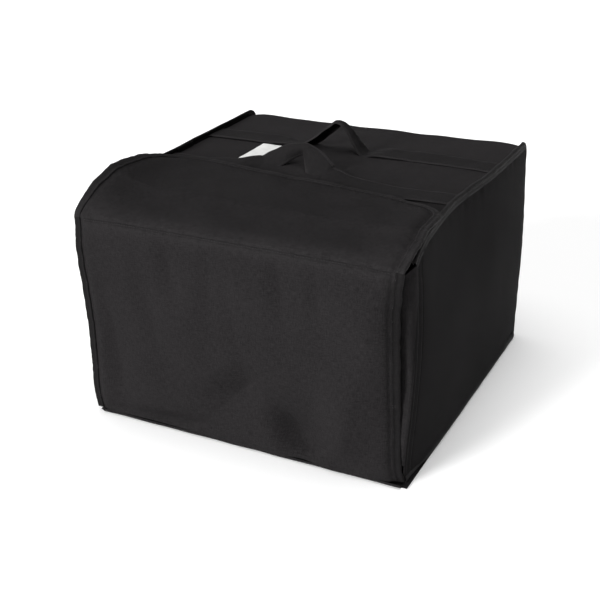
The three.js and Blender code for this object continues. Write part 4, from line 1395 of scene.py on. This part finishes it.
# Wings: cloth that turns in behind the flap, hinged along the front edge of each side
WING_BOTTOM = low_of("wing_right")[2]
WING_TOP = high_of("wing_right")[2]
WING_REACH = 72
WING_INSET = 2.2
WING_SET_BACK = 2
WING_GUSSET = 20  # how far the cloth runs up at the hinge
WING_GUSSET_REACH = 34
WING_CLEARANCE = 11.5  # from the flap's middle to the wing's at the floor
WING_CLEARANCE_RISE = 11  # and how much more there is higher up
WING_HALF = 0.9
WING_LEAN = math.atan(22 / 230)
WING_AXIS = np.array([0, math.sin(WING_LEAN), math.cos(WING_LEAN)])
WING_FORWARD = np.array([0, -math.cos(WING_LEAN), math.sin(WING_LEAN)])
WING_TAPE_SCALE = 0.6
WING_STITCH_IN = 7.4


def wing_line(hinge, up):
    """The line where the wing leaves the side's front edge, and how far forward it goes from there
    before it lies along the back of the flap"""
    base = hinge + up[..., None] * WING_AXIS
    ahead = base[..., 1] - side_front(base[..., 2]) - WING_SET_BACK
    foot = WING_INSET + SIDE_FOOT_IN * hill(base[..., 2], SIDE_FOOT_HEIGHT)
    base = base + ahead[..., None] * WING_FORWARD - np.sign(hinge[0]) * foot[..., None] * (1, 0, 0)
    clearance = WING_CLEARANCE + WING_CLEARANCE_RISE * climb(base[..., 2], 0, 95)
    run = -((base - HINGE) @ FLAP_OUT + clearance) / (WING_FORWARD @ FLAP_OUT)
    return base, np.maximum(run, 1.0)


def wing_surface(hinge):
    """The wing's middle, given by the distance round it from the hinge and the height"""
    sign = np.sign(hinge[0])

    def surface(out, up):
        out, up = np.broadcast_arrays(out, up)
        base, run = wing_line(hinge, up)
        radius = np.maximum(run - 0.5, 0.5)
        straight = run - radius
        bend = np.clip((out - straight) / radius, 0, math.pi / 2)
        past = np.maximum(out - straight - radius * math.pi / 2, 0)
        wave = 0.8 * swell(out, up, 60, 221 + int(sign)) * climb(out, 0, 20)
        ahead = np.minimum(out, straight) + (radius + wave) * np.sin(bend)
        inner = radius * (1 - np.cos(bend)) + past + wave * np.cos(bend)
        return base + ahead[..., None] * WING_FORWARD - sign * inner[..., None] * (1, 0, 0)

    return surface


def add_wing(side, sign):
    hinge = joint_at[f"{side}_wing_fold"]
    surface = wing_surface(hinge)
    low = spaced(WING_BOTTOM, WING_TOP, 5)[:, None]
    run = wing_line(hinge, low[:, 0])[1][:, None]
    total = run * math.pi / 2 + WING_REACH - run
    out = -3 + (total + 3) * np.linspace(0, 1, 46)
    height = (low - WING_BOTTOM) / (WING_TOP - WING_BOTTOM)
    up = low + WING_GUSSET * height ** 3 * (1 - climb(out, 0, WING_GUSSET_REACH))
    front, back = (raised(surface, out, up, half) for half in (WING_HALF, -WING_HALF))
    wing = shell(f"side_wing_{side}", front, back, joined(out, up))
    bend = ("carcass", f"{side}_wing", hinge - WING_FORWARD * 2, hinge + WING_FORWARD * 6)
    finish_piece(wing, "outer_cloth", bend, (f"wing_{side}",))
    edge, inward = np.concatenate([total, low], -1), joined(-1, 0 * low[:, 0])
    tape = tape_on(f"wing_edge_tape_{side}", surface, edge, inward, WING_TAPE_SCALE, 231 + sign)
    finish_piece(tape, "binding_tape", f"{side}_wing", (f"wing_binding_{side}",))
    row = tape_stitches(surface, edge, inward, WING_STITCH_IN)
    stitching(f"wing_tape_stitches_{side}", [row], f"{side}_wing")


def patch_grid(low, high, step):
    """A grid over a patch that lies level: places across and along, and the distance to its edge"""
    x = spaced(low[0], high[0], step)[None, :]
    y = spaced(low[1], high[1], step)[:, None]
    return x, y, np.minimum(np.minimum(x - low[0], high[0] - x), np.minimum(y - low[1], high[1] - y))


# Hook-and-loop strips: the loops on the top, the hooks under the lid, with the piece that carries them
STRIPS = (("loop", "carcass", "wrap_outer_cloth"), ("hook", "lid", "lid_inner_lining"))
STRIP_STEP = 2.5
NAP_DROP = 0.5
NAP_RUN = 0.9


def add_closure(side, sign):
    for kind, body, carrier in STRIPS:
        node = f"closure_{kind}_{side}"
        low, high = box_of(node)
        x, y, edge = patch_grid(low, high, STRIP_STEP)
        nap = NAP_DROP * fade(edge, NAP_RUN) - 0.12 * swell(x, y, 5, 241 + sign)
        top = settled(x, y, high[2] - nap * (kind == "loop") - 0.1)
        bottom = settled(x, y, low[2] + nap * (kind == "hook") + 0.1)
        strip = shell(f"{kind}_strip_{side}", top, bottom, joined(x, y))
        finish_piece(strip, "hook_loop", body, (node,))


LABEL_TRIM = 2
LABEL_LIFT = 0.55
LABEL_THICK = 0.45
LABEL_SEAM_IN = 2.2
LABEL_SEAM_HALF = 0.9
LABEL_SEAM_DENT = 0.35


def add_label():
    low, high = box_of("label")
    x, y, edge = patch_grid(low + (LABEL_TRIM, 0, 0), high - (LABEL_TRIM, 2 * LABEL_TRIM, 0), 2)
    seam = LABEL_SEAM_DENT * hill(edge - LABEL_SEAM_IN, LABEL_SEAM_HALF)
    lift = LABEL_LIFT + 0.25 * swell(x, y, 24, 251) - seam
    label = panel_shell("top_label", top_surface, x, y, lift, LABEL_THICK)
    finish_piece(label, "label_cloth", "carcass", ("label",))


TAG_LEAN = 1.6
TAG_DROP = 1
TAG_THICK = 0.6


def add_tag():
    """A folded tag sewn into the left seam"""
    low, high = box_of("seam_tag")
    y = spaced(low[1], high[1], 2)[:, None]
    tall = np.linspace(0, 1, 10)[None, :]
    x = high[0] + TAG_LEAN * tall ** 2 + 0.3 * ripple(y, 20, 261)
    z = low[2] - TAG_DROP + tall * (high[2] - low[2] + TAG_DROP) + 0.2 * ripple(y, 26, 262) * tall
    face = settled(x, y, z)
    tag = shell("left_seam_tag", face, face - (TAG_THICK, 0, 0))
    finish_piece(tag, "binding_tape", "carcass", ("seam_tag",))


BOARD_CORNER = 14
BOARD_SOFT = 0.7  # how far its edges are rounded
BOARD_CORNER_POINTS = 9


def add_board():
    low, high = box_of("base_board")
    middle, half = (low + high) / 2, (high - low) / 2
    quarters = np.arange(4)[:, None] * math.pi / 2
    angle = (quarters + np.linspace(0, math.pi / 2, BOARD_CORNER_POINTS)).ravel()
    signs = np.repeat([(1, 1), (-1, 1), (-1, -1), (1, -1)], BOARD_CORNER_POINTS, 0)
    upper = ((0, 0.5), (BOARD_SOFT, 1), (6, 1), (half[1] - 1, 1))
    rings = []
    for inset, height in [(inset, -height) for inset, height in upper[::-1]] + list(upper):
        radius = max(BOARD_CORNER - inset, 0.5)
        core = np.maximum(half[:2] - max(inset, BOARD_CORNER), 0.2)
        x, y = (middle[:2] + signs * core + radius * joined(np.cos(angle), np.sin(angle))).T
        rings.append(joined(x, y, middle[2] + height * half[2]))
    rings = np.array(rings)
    piece = loft("stiff_base_board", rings, plan=rings[..., :2])
    finish_piece(piece, "board", "carcass", ("base_board",))


# Studio
FLOOR_HALF_M = 30
FLOOR_LEVEL_M = -0.0004


def add_stage():
    mesh = bpy.data.meshes.new("studio_floor")
    signs = ((-1, -1), (1, -1), (1, 1), (-1, 1))
    corners = [(x * FLOOR_HALF_M, y * FLOOR_HALF_M, FLOOR_LEVEL_M) for x, y in signs]
    mesh.from_pydata(corners, [], [(0, 1, 2, 3)])
    floor = placed("studio_floor", mesh)
    mesh.materials.append(Finish("studio_floor_paint").set(
        Base_Color=(0.96, 0.96, 0.96, 1), Roughness=0.9, Specular_IOR_Level=0.1,
        Emission_Color=(1, 1, 1, 1), Emission_Strength=0.1,
    ))


def add_sun(name, strength, degrees, way):
    light = bpy.data.lights.new(name, "SUN")
    light.energy = strength
    light.angle = math.radians(degrees)
    lamp = placed(name, light)
    lamp.rotation_mode = "QUATERNION"
    lamp.rotation_quaternion = Vector(way).to_track_quat("Z", "Y")


def add_world():
    """Pale at the horizon, dimmer overhead and to the right"""
    world = bpy.data.worlds.new("studio")
    world.use_nodes = True
    nodes = Nodes(world.node_tree)
    x, _, z = nodes.add("SeparateXYZ", nodes.add("TexCoord").outputs["Generated"]).outputs
    place = nodes.math("MULTIPLY_ADD", nodes.math("MAXIMUM", x, 0), 0.8, z)
    ramp = nodes.add("ValToRGB", place)
    for element, position, value in zip(ramp.color_ramp.elements, (0.06, 0.32), (0.7, 0.05)):
        element.position = position
        element.color = (value, value, value, 1)
    nodes.put(world.node_tree.nodes["Background"].inputs[0], ramp.outputs[0])
    bpy.context.scene.world = world


add_camera()
add_flap()
add_flap_tapes()
add_lid()
add_wrap()
add_wrap_lining()
for side, sign in SIDES:
    add_side(side, sign)
    add_side_lining(side, sign)
    add_side_stitches(side, sign)
    add_fin(side, sign)
    add_base_tape(side, sign)
    add_wing(side, sign)
    add_closure(side, sign)
add_mouth_tape()
add_hem()
for name, stations in STRAP_STATIONS.items():
    add_strap(name, stations)
add_label()
add_tag()
add_board()
add_stage()
add_world()
add_sun("overhead_light", 2.7, 60, (0, 0, 1))
add_sun("key_light", 4.4, 22, (-0.42, -0.85, 0.27))
bpy.context.scene.view_settings.view_transform = "Standard"
